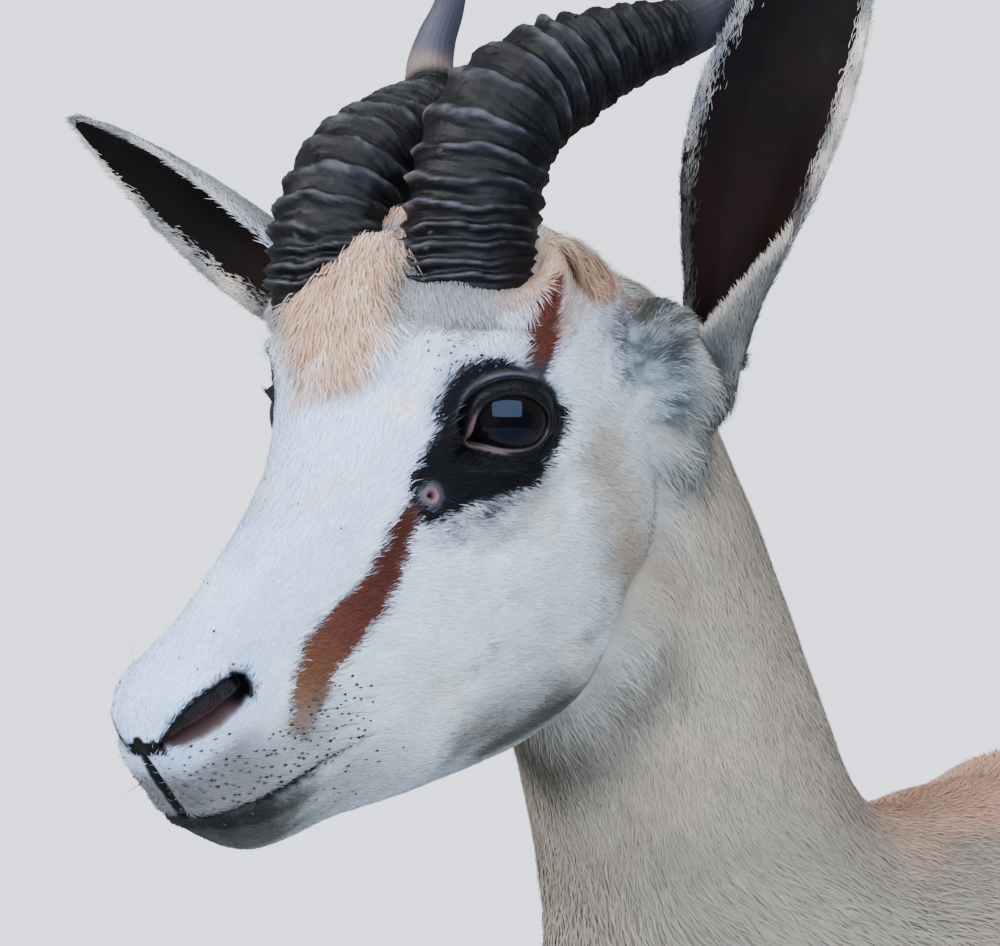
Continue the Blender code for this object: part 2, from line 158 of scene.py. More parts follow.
def gridSkin(bm, rings, matrix, closed=True, caps=True):
    # a grid whose rows are moved to the rings, its seam welded and its ends filled
    columns = len(rings[0]) + (1 if closed else 0)
    verts = bmesh.ops.create_grid(bm, x_segments=columns - 1, y_segments=len(rings) - 1, size=1)["verts"]
    for i, vert in enumerate(verts):
        row, column = divmod(i, columns)
        vert.co = matrix @ Vector([float(v) for v in rings[row][column % len(rings[row])]])
    if closed:
        bmesh.ops.remove_doubles(bm, verts=verts, dist=1e-8)
        verts = [v for v in verts if v.is_valid]
    if caps:
        edges = {e for v in verts for e in v.link_edges if e.is_boundary}
        bmesh.ops.holes_fill(bm, edges=list(edges), sides=0)
    return verts


def meshFrom(name, bm):
    mesh = bpy.data.meshes.new(name)
    bm.to_mesh(mesh)
    bm.free()
    return mesh


def linked(name, data):
    made = bpy.data.objects.new(name, data)
    bpy.context.scene.collection.objects.link(made)
    return made


def newPiece(name, bm, material):
    bmesh.ops.recalc_face_normals(bm, faces=bm.faces)
    return placed(name, meshFrom(name, bm), material)


def placed(name, mesh, material):
    made = linked(name, mesh)
    mesh.materials.append(material)
    mesh.polygons.foreach_set("use_smooth", [True] * len(mesh.polygons))
    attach(made, "root")
    return made


def paint(mesh, name, rgb):
    layer = mesh.color_attributes.new(name, "FLOAT_COLOR", "POINT")
    full = np.ones((len(rgb), 4))
    full[:, :3] = np.clip(rgb, 0, 1)
    layer.data.foreach_set("color", full.ravel())


def coordinates(mesh):
    co = np.empty(len(mesh.vertices) * 3)
    mesh.vertices.foreach_get("co", co)
    return co.reshape(-1, 3)


def normals(mesh):
    mesh.update()
    n = np.empty(len(mesh.vertices) * 3)
    mesh.vertices.foreach_get("normal", n)
    return n.reshape(-1, 3)


def moveTo(mesh, points):
    mesh.vertices.foreach_set("co", points.ravel())
    mesh.update()


def addNode(tree, kind, settings=None, links=None):
    node = tree.nodes.new(kind)
    for key, value in (settings or {}).items():
        if isinstance(key, str) and hasattr(node, key):
            setattr(node, key, value)
        else:
            node.inputs[key].default_value = value
    for key, source in (links or {}).items():
        tree.links.new(source, node.inputs[key])
    return node


def noise(tree, where, scale, detail, roughness=0.5):
    return addNode(tree, "ShaderNodeTexNoise", {"Scale": scale, "Detail": detail, "Roughness": roughness},
                   {"Vector": where.outputs["Object"]})


def addBump(tree, shader, strength, distance, height):
    bump = addNode(tree, "ShaderNodeBump", {"Strength": strength, "Distance": distance}, {"Height": height})
    tree.links.new(bump.outputs["Normal"], shader.inputs["Normal"])


def painted(tree, layer):
    # the colour that paint() laid on the mesh under this name
    return addNode(tree, "ShaderNodeAttribute", {"attribute_name": layer})


def blended(tree, kind, share, under, over):
    return addNode(tree, "ShaderNodeMix", {"data_type": "RGBA", "blend_type": kind, "Factor": share},
                   {6: under, 7: over}).outputs[2]


def feed(tree, shader, tone, rough=None):
    tree.links.new(tone, shader.inputs["Base Color"])
    if rough:
        tree.links.new(rough, shader.inputs["Roughness"])


def newMaterial(name, settings):
    made = bpy.data.materials.new(name)
    made.use_nodes = True
    shader = made.node_tree.nodes["Principled BSDF"]
    for key, value in settings.items():
        shader.inputs[key].default_value = value
    return made, made.node_tree, shader


# the coat's skin: head and body as lofted rings, one remeshed skin

coat = {
    "voxel": 2.1,
    "smoothTurns": 18,
    "fineZones": [  # centre in the head frame, left side, and reach: the edges here are halved once
        ((44, 158, -16), 31), ((33, 123, -17), 14), ((14, 8, -12), 36), ((24, 45, -48), 24), ((45, 168, 9), 15)],
    "finestZones": [((45, 157, -18), 23), ((32, 122.5, -17), 7.5), ((14, 11, 0), 19), ((2, -2, -14), 19),
                    ((19, 20, -37), 19), ((26, 45, -48), 13)],
    "back": -2.0,
}
headSections = [
    (-3, [(0, 1), (5, 0), (9, -6), (9, -16), (6, -25), (0, -27)]),
    (1, [(0, 7.5), (7, 6), (12.5, -2), (13, -16), (11, -33), (0, -39)]),
    (8, [(0, 11.5), (9, 9.5), (16.5, 0), (18.5, -17), (16.5, -43), (0, -56)]),
    (22, [(0, 12), (12, 10), (21.5, -1), (23.5, -20), (20, -50), (0, -67)]),
    (44, [(0, 9), (10, 7.5), (20, -5), (26, -27), (23, -59), (0, -80)]),
    (66, [(0, 6.5), (11, 4.5), (21, -9), (29.5, -37), (27, -77), (0, -95)]),
    (90, [(0, 4.5), (13, 2.5), (24, -11), (34.5, -45), (31.5, -89.5), (0, -111)]),
    (115, [(0, 4.5), (16, 2.5), (28, -12), (40, -52), (37, -103), (0, -126)]),
    (138, [(0, 8), (21, 5), (34, -9), (46.5, -56), (41, -109), (0, -133)]),
    (156, [(0, 16), (27, 13), (41, -6), (49, -57), (42, -106), (0, -130)]),
    (172, [(0, 22), (32, 19), (48, 2), (49, -56), (42, -102), (0, -124)]),
    (194, [(0, 25), (36, 23), (51, 5), (49, -54), (40, -98), (0, -116)]),
    (213, [(0, 20), (33, 17), (49, -7), (47, -57), (36, -90), (0, -107)]),
    (236, [(0, -3), (22, -8), (38, -28), (39, -58), (28, -79), (0, -92)]),
    (249, [(0, -26), (9, -29), (17, -40), (17, -58), (11, -68), (0, -72)]),
]
headSwellings = [  # centre, radii and turn about the vertical
    ((33.5, 163, -20.5), (18.5, 25, 20), 38),  # orbit
    ((33, 176, -66), (19, 36, 42), 0),  # jaw muscle
    ((46, 229, -64), (22, 20, 25), 0),  # ear root
    ((24, 192, 4), (31, 30, 22), 0),  # horn seat
    ((43.5, 217, -86), (12, 14, 13), 0),  # under the ear root
]
bodyMuscles = [(-12, -96, 46, 34, 9.0), (-58, -168, 40, 22, 8.0), (40, -70, 40, 24, 4.0)]
bodyRings = [  # centre, climb of the axis, half width, half height
    ((0, 30, -40), 0, 112, 166), ((0, 0, -40), 0, 116, 168), ((0, -40, -37), 2, 118, 168),
    ((0, -78, -24), 12, 113, 154), ((0, -112, -2), 24, 102, 136), ((0, -144, 30), 38, 88, 114),
    ((0, -176, 62), 51, 71, 83), ((0, -194, 97), 62, 54, 60), ((0, -211, 142), 67, 46, 55),
    ((0, -235, 198), 65, 43, 52), ((0, -259, 245), 63, 41, 48), ((0, -272, 270), 62, 38, 45),
    ((0, -279, 284), 62, 26, 30),
]


def headRings():
    halves = [through([(u, *points[k]) for u, points in headSections], 4) for k in range(6)]
    made = []
    for i in range(len(halves[0])):
        left = [half[i] for half in halves]
        outline = [(w, h) for _, w, h in left] + [(-w, h) for _, w, h in reversed(left[1:-1])]
        made.append([(w, left[0][0], h) for w, h in through(outline, 5, closed=True)])
    return made


def muscle(angle, y, halfWidth):
    height = 0.0
    for middle, along, reachAlong, reachRound, rise in bodyMuscles:
        height += rise * math.exp(-((angle - middle) / reachRound) ** 2 - ((y - along) / reachAlong) ** 2)
    return height * min(1.0, max(0.0, (halfWidth - 50) / 30))


def bodyLoft():
    made = []
    for x, y, z, climb, a, b in through([(*c, climb, a, b) for c, climb, a, b in bodyRings], 4):
        up = Vector((0, math.sin(math.radians(climb)), math.cos(math.radians(climb))))
        ring = []
        for k in range(56):
            angle = 2 * math.pi * k / 56
            lean = 1 - 0.10 * math.sin(angle)
            across, rise = math.cos(angle), math.sin(angle)
            spot = Vector((x, y, z)) + Vector((a * lean * across, 0, 0)) + up * float(b) * rise
            outward = (Vector((across, 0, 0)) + up * rise).normalized()
            ring.append(spot + outward * muscle(math.degrees(math.asin(rise)), spot.y, a))
        made.append(ring)
    return made


def bothSides(points):
    # the point itself and its mirror in the head's mid plane
    return [points, (-points[0], points[1], points[2])]


def makeSkin():
    bm = bmesh.new()
    gridSkin(bm, headRings(), headMatrix())
    gridSkin(bm, bodyLoft(), Matrix.Scale(mm, 4))
    for centre, radii, turn in headSwellings:
        for side in (1, -1):
            local = Matrix.Translation((side * centre[0], centre[1], centre[2]))
            local = local @ Matrix.Rotation(math.radians(side * turn), 4, "Z") @ Matrix.Diagonal((*radii, 1))
            bmesh.ops.create_icosphere(bm, subdivisions=4, radius=1, matrix=headMatrix() @ local)
    bmesh.ops.recalc_face_normals(bm, faces=bm.faces)
    rough = linked("rough", meshFrom("rough", bm))
    remesh = rough.modifiers.new("one skin", "REMESH")
    remesh.mode = "VOXEL"
    remesh.voxel_size = coat["voxel"] * mm
    soften = rough.modifiers.new("soften", "SMOOTH")
    soften.factor = 0.5
    soften.iterations = coat["smoothTurns"]
    graph = bpy.context.evaluated_depsgraph_get()
    done = bpy.data.meshes.new_from_object(rough.evaluated_get(graph))
    bpy.data.objects.remove(rough, do_unlink=True)

    bm = bmesh.new()
    bm.from_mesh(done)
    bpy.data.meshes.remove(done)
    geometry = bm.verts[:] + bm.edges[:] + bm.faces[:]
    bmesh.ops.bisect_plane(bm, geom=geometry, plane_co=(0, coat["back"] * mm, 0), plane_no=(0, 1, 0), clear_outer=True)
    bmesh.ops.holes_fill(bm, edges=[e for e in bm.edges if e.is_boundary], sides=0)
    for zones in (coat["fineZones"], coat["finestZones"]):
        spots = [(headMatrix() @ Vector(p), r * mm) for centre, r in zones for p in bothSides(centre)]
        edges = [e for e in bm.edges
                 if any((e.verts[0].co - spot).length < reach and (e.verts[1].co - spot).length < reach
                        for spot, reach in spots)]
        bmesh.ops.subdivide_edges(bm, edges=edges, cuts=1, use_grid_fill=True, smooth=0)
    bmesh.ops.triangulate(bm, faces=[f for f in bm.faces if len(f.verts) > 4])
    for _ in range(2):
        bmesh.ops.smooth_vert(bm, verts=[v for v in bm.verts if v.co.y < -0.35], factor=0.5,
                              use_axis_x=True, use_axis_y=True, use_axis_z=True)
    return meshFrom("coat_skin", bm)


# eyes: ball, lid opening and its frame, out of the eye, along the lids, up

eye = {
    "centre": (37.0, 162.9, -20.2),
    "radius": 15.0,
    "facing": (0.75, -0.58, 0.23),
    "slant": 12.0,
    "lidThick": 1.1,
    # the lids' edge seen along the eye's axis
    "margin": [(-15.2, -0.6), (-12.6, 2.8), (-9.2, 7.0), (-5.2, 9.5), (-0.2, 9.9), (4.7, 8.2), (8.9, 4.4),
               (11.8, -1.4), (11.9, -6.6), (9.2, -10.6), (4.0, -12.0), (-1.6, -10.0), (-7.0, -6.6), (-11.4, -3.0)],
    "middle": (0.0, -1.2),
    "upperFold": 1.38,
}


def eyeFrame(side):
    out = Vector((side * eye["facing"][0], eye["facing"][1], eye["facing"][2])).normalized()
    slant = math.radians(eye["slant"])
    along = Vector((0, math.cos(slant), -math.sin(slant)))
    along = (along - out * along.dot(out)).normalized()
    up = out.cross(along) * side
    return Vector((side * eye["centre"][0], *eye["centre"][1:])), along, up, out


def marginReach(angle):
    # distance from the opening's middle to the lids' edge, for each angle
    loop = np.array(through(eye["margin"], 6, closed=True)) - eye["middle"]
    at = np.arctan2(loop[:, 1], loop[:, 0])
    order = np.argsort(at)
    return np.interp(angle, at[order], np.linalg.norm(loop, axis=1)[order], period=2 * math.pi)


def eyeLocal(points, side):
    # along, up and out of the eye for points in the head frame
    centre, along, up, out = eyeFrame(side)
    local = points - np.array(centre)
    return np.stack([local @ np.array(along), local @ np.array(up), local @ np.array(out)], 1)


def eyeBack(local, side):
    centre, along, up, out = eyeFrame(side)
    axes = np.array([along, up, out])
    return local @ axes + np.array(centre)


def lidShare(local):
    # 1 on the lids' edge, below 1 inside the opening
    flat = local[:, :2] - eye["middle"]
    angle = np.arctan2(flat[:, 1], flat[:, 0])
    return np.linalg.norm(flat, axis=1) / marginReach(angle), angle


def shapeLids(points):
    # the skin drops under the eyeball inside the lids' edge, and rises over it outside
    for side in (1, -1):
        local = eyeLocal(points, side)
        share, angle = lidShare(local)
        near = (local[:, 2] > -1) & (share < 2.4) & (np.linalg.norm(local, axis=1) < 34)
        reach = np.linalg.norm(local, axis=1)
        radius = eye["radius"]
        onEdge = near & (share > 0.9) & (share < 1.0)
        under = near & (share <= 0.9)
        rise = near & (share >= 1.0)
        flat = local[:, :2] - eye["middle"]
        edge = marginReach(angle)
        unit = flat / np.maximum(np.linalg.norm(flat, axis=1), 1e-6)[:, None]
        snapped = eye["middle"] + unit * edge[:, None]
        local[onEdge, :2] = snapped[onEdge]
        squeezed = near & (share > 0.78) & (share <= 0.9)
        local[squeezed, :2] = (eye["middle"] + unit * (edge * 0.975)[:, None])[squeezed]

        def onBall(rows, distance):
            across = np.sum(local[rows, :2] ** 2, axis=1)
            local[rows, 2] = np.sqrt(np.maximum(distance**2 - across, 1.0))

        onBall(under, radius - 2.2)
        onBall(onEdge, radius + eye["lidThick"])
        upper = smoothStep(-0.35, 0.35, np.sin(angle))
        fold = np.exp(-((share - eye["upperFold"]) / 0.07) ** 2) * upper
        lower = np.exp(-((share - 1.27) / 0.06) ** 2) * (1 - upper)
        second = np.exp(-((share - 1.55) / 0.08) ** 2) * (1 - upper)
        plump = np.exp(-((share - 1.2) / 0.12) ** 2) * upper
        across = np.sqrt(np.sum(local[:, :2] ** 2, axis=1))
        seat = np.sqrt(np.maximum((radius + eye["lidThick"] + 0.3) ** 2 - across**2, 0.5))
        keep = smoothStep(1.0, 1.75, share)
        height = seat * (1 - keep) + local[:, 2] * keep
        ridge = np.exp(-((share - 1.55) / 0.1) ** 2) * upper
        height += 1.5 * plump - 1.5 * fold + 1.3 * ridge - 0.7 * lower - 0.6 * second
        local[rise, 2] = np.where(share < 2.0, height, local[:, 2])[rise]
        moved = near & (reach > 5)
        points[moved] = eyeBack(local, side)[moved]
    return points


# carved lines and hollows: line in the head frame, reach, height along the skin's normal

mouthLine = [(0, -2.5, -30), (9, 0.5, -31), (15.5, 5, -32.5), (20, 13, -36), (22.5, 23, -40), (24.5, 33, -43.5),
             (26, 45.5, -49), (28.5, 57.5, -55)]
carving = [
    (mouthLine, 1.3, -2.6),
    ([(x, y - 1, z + 4) for x, y, z in mouthLine], 2.6, 0.8),
    ([(x, y, z - 5) for x, y, z in mouthLine[:-1]], 3.2, 1.0),
    ([(0, -1, 2), (0, -2.8, -6), (0, -3, -15), (0, -2.5, -27)], 1.1, -1.6),
    ([(4, 2, 7), (3, 8, 12)], 4, 0.5),
    ([(37, 111, -67), (34, 97, -61), (31, 85, -56.5), (28.5, 72, -52), (27, 61, -45)], 2.4, 0.9),
    ([(36, 100, -70), (32, 85, -65), (28, 70, -60)], 3.0, -1.5),
    ([(27, 160, 15), (33.4, 166, 15), (41.5, 170, 12.3), (48, 175, 7.5), (52, 182, 4.6)], 2.0, -1.5),
    ([(29, 155, 13), (36, 160, 12), (43, 165, 9), (49, 171, 4)], 3.0, 1.3),
    ([(33, 117, -28), (40, 134, -36), (45, 148, -45), (48, 165, -52)], 7, -1.6),
    ([(38, 118, -48), (44, 140, -58), (47, 165, -64)], 9, 1.5),
    ([(30, 100, -30), (27, 80, -30), (25, 60, -32)], 9, -1.0),
    ([(54, 200, -20), (52, 208, -34)], 12, -2.2),
    ([(12, 60, 7), (14, 90, 4), (17, 115, 4)], 5, 0.5),
]
gland = {"place": (32.0, 122.6, -17.0), "ring": 2.4, "hole": 0.9}
nostril = {
    "line": [(6.8, -1.0, 0.4), (10.2, 2.5, 0.0), (14.4, 8.4, 0.0), (18.5, 15.5, -0.5), (20.6, 22.0, -1.4),
             (21.0, 25.0, -1.6)],
    "half": [0.9, 3.9, 5.2, 5.6, 5.2, 4.4],
    "depth": 10.0,
    "inward": (-0.80, 0.55, -0.22),
}


def toNostril(left):
    # distance to the nostril's middle line, how far along it, and half its width there
    away, place = alongLine(left, nostril["line"])
    return away, place, np.interp(place, np.linspace(0, 1, len(nostril["half"])), nostril["half"])


earFoot = [(56.5, 247, -50), (60, 246, -57), (63, 240, -58), (67, 239, -64)]  # where the ear's cup opens


def carve(mesh):
    # presses lines, nostrils and lids into the skin; gives the places before, which the markings go by
    points = inHead(coordinates(mesh))
    before = points.copy()
    turned = np.array(headMatrix().to_3x3().normalized().inverted())
    outward = normals(mesh) @ turned.T
    left = folded(points)
    lift = np.zeros(len(points))
    for line, reach, height in carving:
        away, place = alongLine(left, line)
        fade = smoothStep(0, 0.12, place) * smoothStep(1, 0.85, place) if line is not mouthLine else 1.0
        lift += height * np.exp(-(away / reach) ** 2) * (fade if height > -2 else smoothStep(1.0, 0.9, place))
    away = np.linalg.norm(left - gland["place"], axis=1)
    lift += 1.0 * np.exp(-((away - gland["ring"]) / 1.3) ** 2) - 3.0 * np.exp(-(away / gland["hole"]) ** 2)
    lift += 0.35 * clouds(points, 26, 5) * smoothStep(20, 60, points[:, 1])
    points += outward * lift[:, None]
    left = folded(points)
    away, place, half = toNostril(left)
    deep = nostril["depth"] * smoothStep(1.02, 0.55, away / half)
    deep *= np.interp(place, [0, 0.12, 0.35, 0.8, 1], [0.3, 0.75, 1, 1, 0.8])
    brow = 1.3 * np.exp(-((away - half - 1.6) / 1.8) ** 2) * (left[:, 2] > -1.5) * smoothStep(0.05, 0.3, place)
    inward = np.array(nostril["inward"])
    for side in (1, -1):
        rows = (points[:, 0] * side > 0) & (deep > 0)
        points[rows] += deep[rows, None] * inward * [side, 1, 1]
    points += outward * brow[:, None]
    # the horn's foot stands lower on its outer side, where the skin dips round it
    w, u = np.abs(points[:, 0]) - 22.5, points[:, 1] - 190
    away = np.hypot(w, u)
    turn = np.arctan2(u, w)
    dip = 15.5 * np.exp(-((away - 20) / 9.5) ** 2) * np.exp(-((turn - 0.4) / 0.95) ** 2) * (points[:, 2] > -10)
    points[:, 2] -= dip
    for side in (1, -1):
        away, _ = alongLine(points * [side, 1, 1], earFoot)
        points -= outward * (5.0 * np.exp(-(away / 7.0) ** 2))[:, None]
    points = shapeLids(points)
    moveTo(mesh, applied(headMatrix(), points))
    return applied(headMatrix(), before)


# markings and painted shade: colour of hair and skin at any point, both sides alike

tints = {
    "bridge": "#C6DFFF", "face": "#DCE9F5", "cheek": "#CFDDE0", "jaw": "#97958A", "throatShadow": "#4A453A",
    "neck": "#B9AD99", "neckWarm": "#AF9A80", "neckGrey": "#948E80", "back": "#D0A588", "backDark": "#8D6149",
    "stripeTop": "#432018", "stripe": "#5A3127", "stripeLow": "#66432D", "stripeEnd": "#8A6C50",
    "patch": "#090A0C", "patchEdge": "#3A3B3E", "brow": "#5C3024", "forelock": "#CDAA8E", "rust": "#B08260",
    "cream": "#E9DCCB", "lip": "#7B7A7A", "lipDark": "#1F1F1C", "chin": "#474840", "black": "#060606",
    "stain": "#D9DACB", "horn": "#5E554F",
    "ear": "#060505", "earRed": "#190A08", "earBack": "#8E9092", "nostril": "#260C09", "nostrilPale": "#75605E",
    "pink": "#8A6A68", "lidGrey": "#5E5B63", "earFoot": "#505456", "earFringe": "#1F1B19",
}
rgb = {name: np.array(linear(value)) for name, value in tints.items()}
stripeLine = [(31, 118, -15), (29, 111, -16), (28.6, 102, -18.3), (28.4, 92.6, -20.6), (27.6, 81.4, -22),
              (25.4, 68.2, -20.4), (24.5, 54.5, -19.0), (24.4, 43.4, -22.3), (24, 33, -27), (23.5, 29, -29)]
browLine = [(48.5, 171, -13), (48.8, 178.8, -5.6), (50.4, 182.0, 1.8), (51.8, 187.0, 5.6), (52, 194, 7.2)]


def mix(base, over, share):
    return base * (1 - share[:, None]) + over * share[:, None]


def pastThroat(head):
    # mm behind the slanting plane where the head ends and the neck begins
    return (head[:, 1] - 142) * 0.648 - (head[:, 2] + 149) * 0.762


def neckShare(head):
    return smoothStep(-20, 12, pastThroat(head))


def coatColours(world):
    # colour for points in metres
    head = inHead(world)
    left = folded(head)
    u, h = head[:, 1], head[:, 2]
    big, fine, tiny = clouds(head, 42, 11), clouds(head, 9, 12), clouds(head, 3.2, 13)
    # the face's white has a blue cast, bluest over the bridge: painted colour of the bluish light falling on the top of
    # the face
    made = mix(rgb["face"], rgb["bridge"], smoothStep(-18, 2, h) * smoothStep(175, 120, u))
    made = mix(made, rgb["cheek"], smoothStep(-15, -50, h) * (0.75 + 0.25 * big))
    # grey low on the jaw: the jaw's own grey hair, made darker with painted shade
    jawGreyAndShade = smoothStep(-50, -100, h) * smoothStep(60, 110, u) * (0.55 + 0.35 * fine)
    made = mix(made, rgb["jaw"], np.clip(jawGreyAndShade, 0, 1))
    neck = neckShare(head)
    tone = mix(rgb["neck"], rgb["neckWarm"], np.clip(0.3 + 0.25 * big + 0.12 * fine, 0, 1))
    tone = mix(tone, rgb["neckGrey"], np.clip(0.3 * fine + 0.3, 0, 1))
    made = mix(made, tone, neck)
    # painted shadow of the jaw on the throat
    away, _ = alongLine(left, [(0, 142, -153), (20, 147, -140), (34, 158, -130)])
    made = mix(made, rgb["throatShadow"] * 0.9, 0.9 * smoothStep(30, 5, away) * smoothStep(-9, 4, pastThroat(head)))
    # painted shade along the underside of the jaw
    away, _ = alongLine(left, [(26, 96, -103), (33, 114, -107), (33, 136, -117), (31, 157, -123), (38, 172, -116)])
    made = mix(made, rgb["jaw"] * 0.85, np.clip(smoothStep(17, 4, away) * (0.48 + 0.3 * fine), 0, 1))
    # painted shade on the jaw's lower edge further forward
    low, _ = alongLine(left, [(28, 84, -84), (34, 104, -93), (39, 124, -104)])
    made = mix(made, rgb["jaw"] * 0.5, np.clip(smoothStep(16, 3, low + 4 * fine) * (0.85 + 0.3 * fine), 0, 1))
    # darker painted shadow at the jaw's corner
    made = mix(made, rgb["throatShadow"] * 0.85, 0.85 * smoothStep(12, 2, away + 3 * fine) * smoothStep(150, 125, u))
    # darker low on the neck: a greyer coat there, deepened with painted shade from the light above
    lower = smoothStep(165, 95, world[:, 2] / mm) * neck
    made = mix(made, rgb["neckGrey"] * 0.55, np.clip(lower * (0.48 + 0.08 * big), 0, 1))
    # dark grey at the ear's foot, darker behind it: painted shade where the ear meets the head, over the grey hair
    # there
    away, _ = alongLine(left, [(55, 222, -86), (66, 227, -64), (56, 224, -40)])
    foot = mix(rgb["earFoot"], rgb["throatShadow"] * 0.7, smoothStep(217, 230, u) * 0.85)
    foot = foot * (1 - 0.35 * smoothStep(0.3, 0.8, clouds(left * [1, 0.6, 1], 4.5, 29)))[:, None]
    made = mix(made, foot, np.clip(smoothStep(29, 11, away + 5 * fine) * (0.95 + 0.3 * tiny), 0, 1))
    # warm patch down from the ear to the jaw angle, dark flecks and grey shade under the eye
    away, _ = alongLine(left, [(52, 178, -58), (50, 172, -84), (42, 176, -112)])
    made = mix(made, rgb["neckWarm"] * 0.7, 0.9 * smoothStep(24, 5, away + 5 * fine))
    flecks = smoothStep(0.5, 0.85, clouds(left * [1, 0.55, 1.0], 6.5, 21)) * smoothStep(70, 110, u)
    flecks = flecks * smoothStep(-20, -40, h)
    made = mix(made, rgb["jaw"] * 0.6, (0.55 - 0.4 * neck) * flecks * smoothStep(0.1, 0.5, clouds(left, 26, 22)))
    away, _ = alongLine(left, [(37, 128, -34), (46, 150, -46)])
    made = mix(made, rgb["jaw"] * 0.7, np.clip(0.6 * smoothStep(13, 3, away + 3 * fine), 0, 1))
    away, _ = alongLine(left, [(34, 119, -26), (41, 134, -36), (48, 150, -41)])
    made = mix(made, rgb["patchEdge"], np.clip(smoothStep(13, 2, away + 4 * fine) * (0.45 + 0.6 * tiny), 0, 1))
    made = made * (1 + 0.05 * big + 0.05 * clouds(left, 18, 26) + 0.03 * fine)[:, None]
    # greenish soiling on the bridge and the cheeks
    stain = smoothStep(0.2, 0.8, clouds(left, 22, 23)) * smoothStep(-8, 0, h) * smoothStep(190, 150, u)
    made = mix(made, rgb["stain"], 0.45 * stain)
    stain = smoothStep(0.0, 0.7, clouds(left, 30, 27)) * smoothStep(-15, -45, h) * smoothStep(40, 90, u)
    made = mix(made, rgb["stain"] * 0.9, 0.5 * stain * (1 - neck))
    # dark cup of the ear's foot with pale hair under it
    away, _ = alongLine(left, earFoot)
    made = mix(made, rgb["cream"], 0.12 * smoothStep(15, 11, away + 2 * tiny))
    made = mix(made, rgb["earRed"], smoothStep(10.5, 8.0, away + 1.0 * tiny))
    # withers and back
    x, y, z = (world / mm).T
    back = smoothStep(96, 122, z - 0.16 * (y + 60) + 9 * big) * smoothStep(-170, -125, y)
    made = mix(made, rgb["back"], np.clip(back * (0.85 + 0.2 * fine), 0, 1))
    made = mix(made, rgb["backDark"], np.clip(back * smoothStep(26, 4, np.abs(x)) * (0.45 + 0.3 * fine), 0, 1))
    # hair between and behind the horns
    streak = clouds(head * [1.0, 0.25, 0.25], 5, 24)
    away, _ = alongLine(head, [(-6, 186, 25), (-10, 172, 21), (-10, 160, 17), (-5, 149, 12)])
    made = mix(made, rgb["forelock"], np.clip(smoothStep(22, 6, away + 5 * streak) * (0.75 + 0.4 * fine), 0, 1))
    made = mix(made, rgb["rust"], np.clip(smoothStep(15, 3, away + 4 * streak) * (0.1 + 0.6 * streak), 0, 1))
    foot = np.hypot(left[:, 0] - 22.5, u - 190)
    made = mix(made, rgb["horn"], np.clip(0.8 * smoothStep(35, 23, foot + 5 * fine + 3 * tiny) * (h > -5), 0, 1))
    away, _ = alongLine(left, [(49, 198, 9), (48, 207, 6), (42, 222, -8), (22, 240, -28), (0, 244, -30)])
    made = mix(made, rgb["forelock"], np.clip(smoothStep(27, 9, away + 4 * fine) * (0.8 + 0.5 * tiny), 0, 1))
    made = mix(made, rgb["rust"], np.clip(smoothStep(14, 4, away) * (0.15 + 0.5 * streak), 0, 1))
    away = np.linalg.norm(head - [22.7, 139, 4.3], axis=1)
    made = mix(made, rgb["cream"], 0.8 * smoothStep(8, 2, away))
    # cheek stripe
    away, place = alongLine(left, stripeLine)
    half = np.interp(place, [0, 0.12, 0.3, 0.55, 0.8, 1], [3.0, 4.8, 6.4, 8.0, 7.8, 5.6]) + 1.2 * tiny + 0.6 * fine
    shade = np.stack([np.interp(place, [0, 0.2, 0.55, 0.78, 1.0], [rgb[k][c] for k in
                      ("stripeTop", "stripeTop", "stripe", "stripeLow", "stripeEnd")]) for c in range(3)], 1)
    cover = smoothStep(1.4, -2.0, away - half) * smoothStep(1.0, 0.97, place)
    made = made * (1 - cover[:, None]) + shade * cover[:, None]
    # mark from the eye to the horn
    away, place = alongLine(left, browLine)
    half = np.interp(place, [0, 0.25, 0.6, 1], [5.0, 6.8, 6.6, 4.6]) + 1.0 * tiny
    made = mix(made, mix(rgb["brow"], rgb["patchEdge"], smoothStep(0.3, 0.0, place)),
               smoothStep(1.8, -2.2, away - half))
    # black patch round the eye and down to the gland
    local = eyeLocal(left, 1)
    share, angle = lidShare(local)
    rim = np.interp(angle, [-3.14, -2.4, -1.57, -0.6, 0, 0.8, 1.57, 2.4, 3.14],
                    [1.9, 1.6, 1.52, 1.42, 1.32, 1.55, 1.98, 2.05, 1.9])
    dark = smoothStep(0.32, -0.16, share - rim + 0.1 * fine) * (local[:, 2] > -4)
    for line, reach in (([(32, 124, -15), (35, 139, -11), (40, 148, -10)], 7.8),
                        ([(33, 119, -18), (37, 128, -22), (42, 138, -26)], 5.2),
                        ([(42, 140, -27), (46, 152, -33)], 4.6)):
        away, _ = alongLine(left, line)
        dark = np.maximum(dark, smoothStep(2.6, -2.6, away - reach + 1.4 * fine))
    over = smoothStep(0.55, 0.05, share - rim + 0.15 * fine) * smoothStep(0.2, 0.8, np.sin(angle))
    over = over * (local[:, 2] > -4)
    made = mix(made, rgb["patchEdge"], np.clip(over * (0.6 + 0.5 * tiny), 0, 1))
    made = mix(made, rgb["patchEdge"], smoothStep(0.0, 0.6, dark))
    made = mix(made, rgb["patch"], smoothStep(0.3, 0.8, dark))
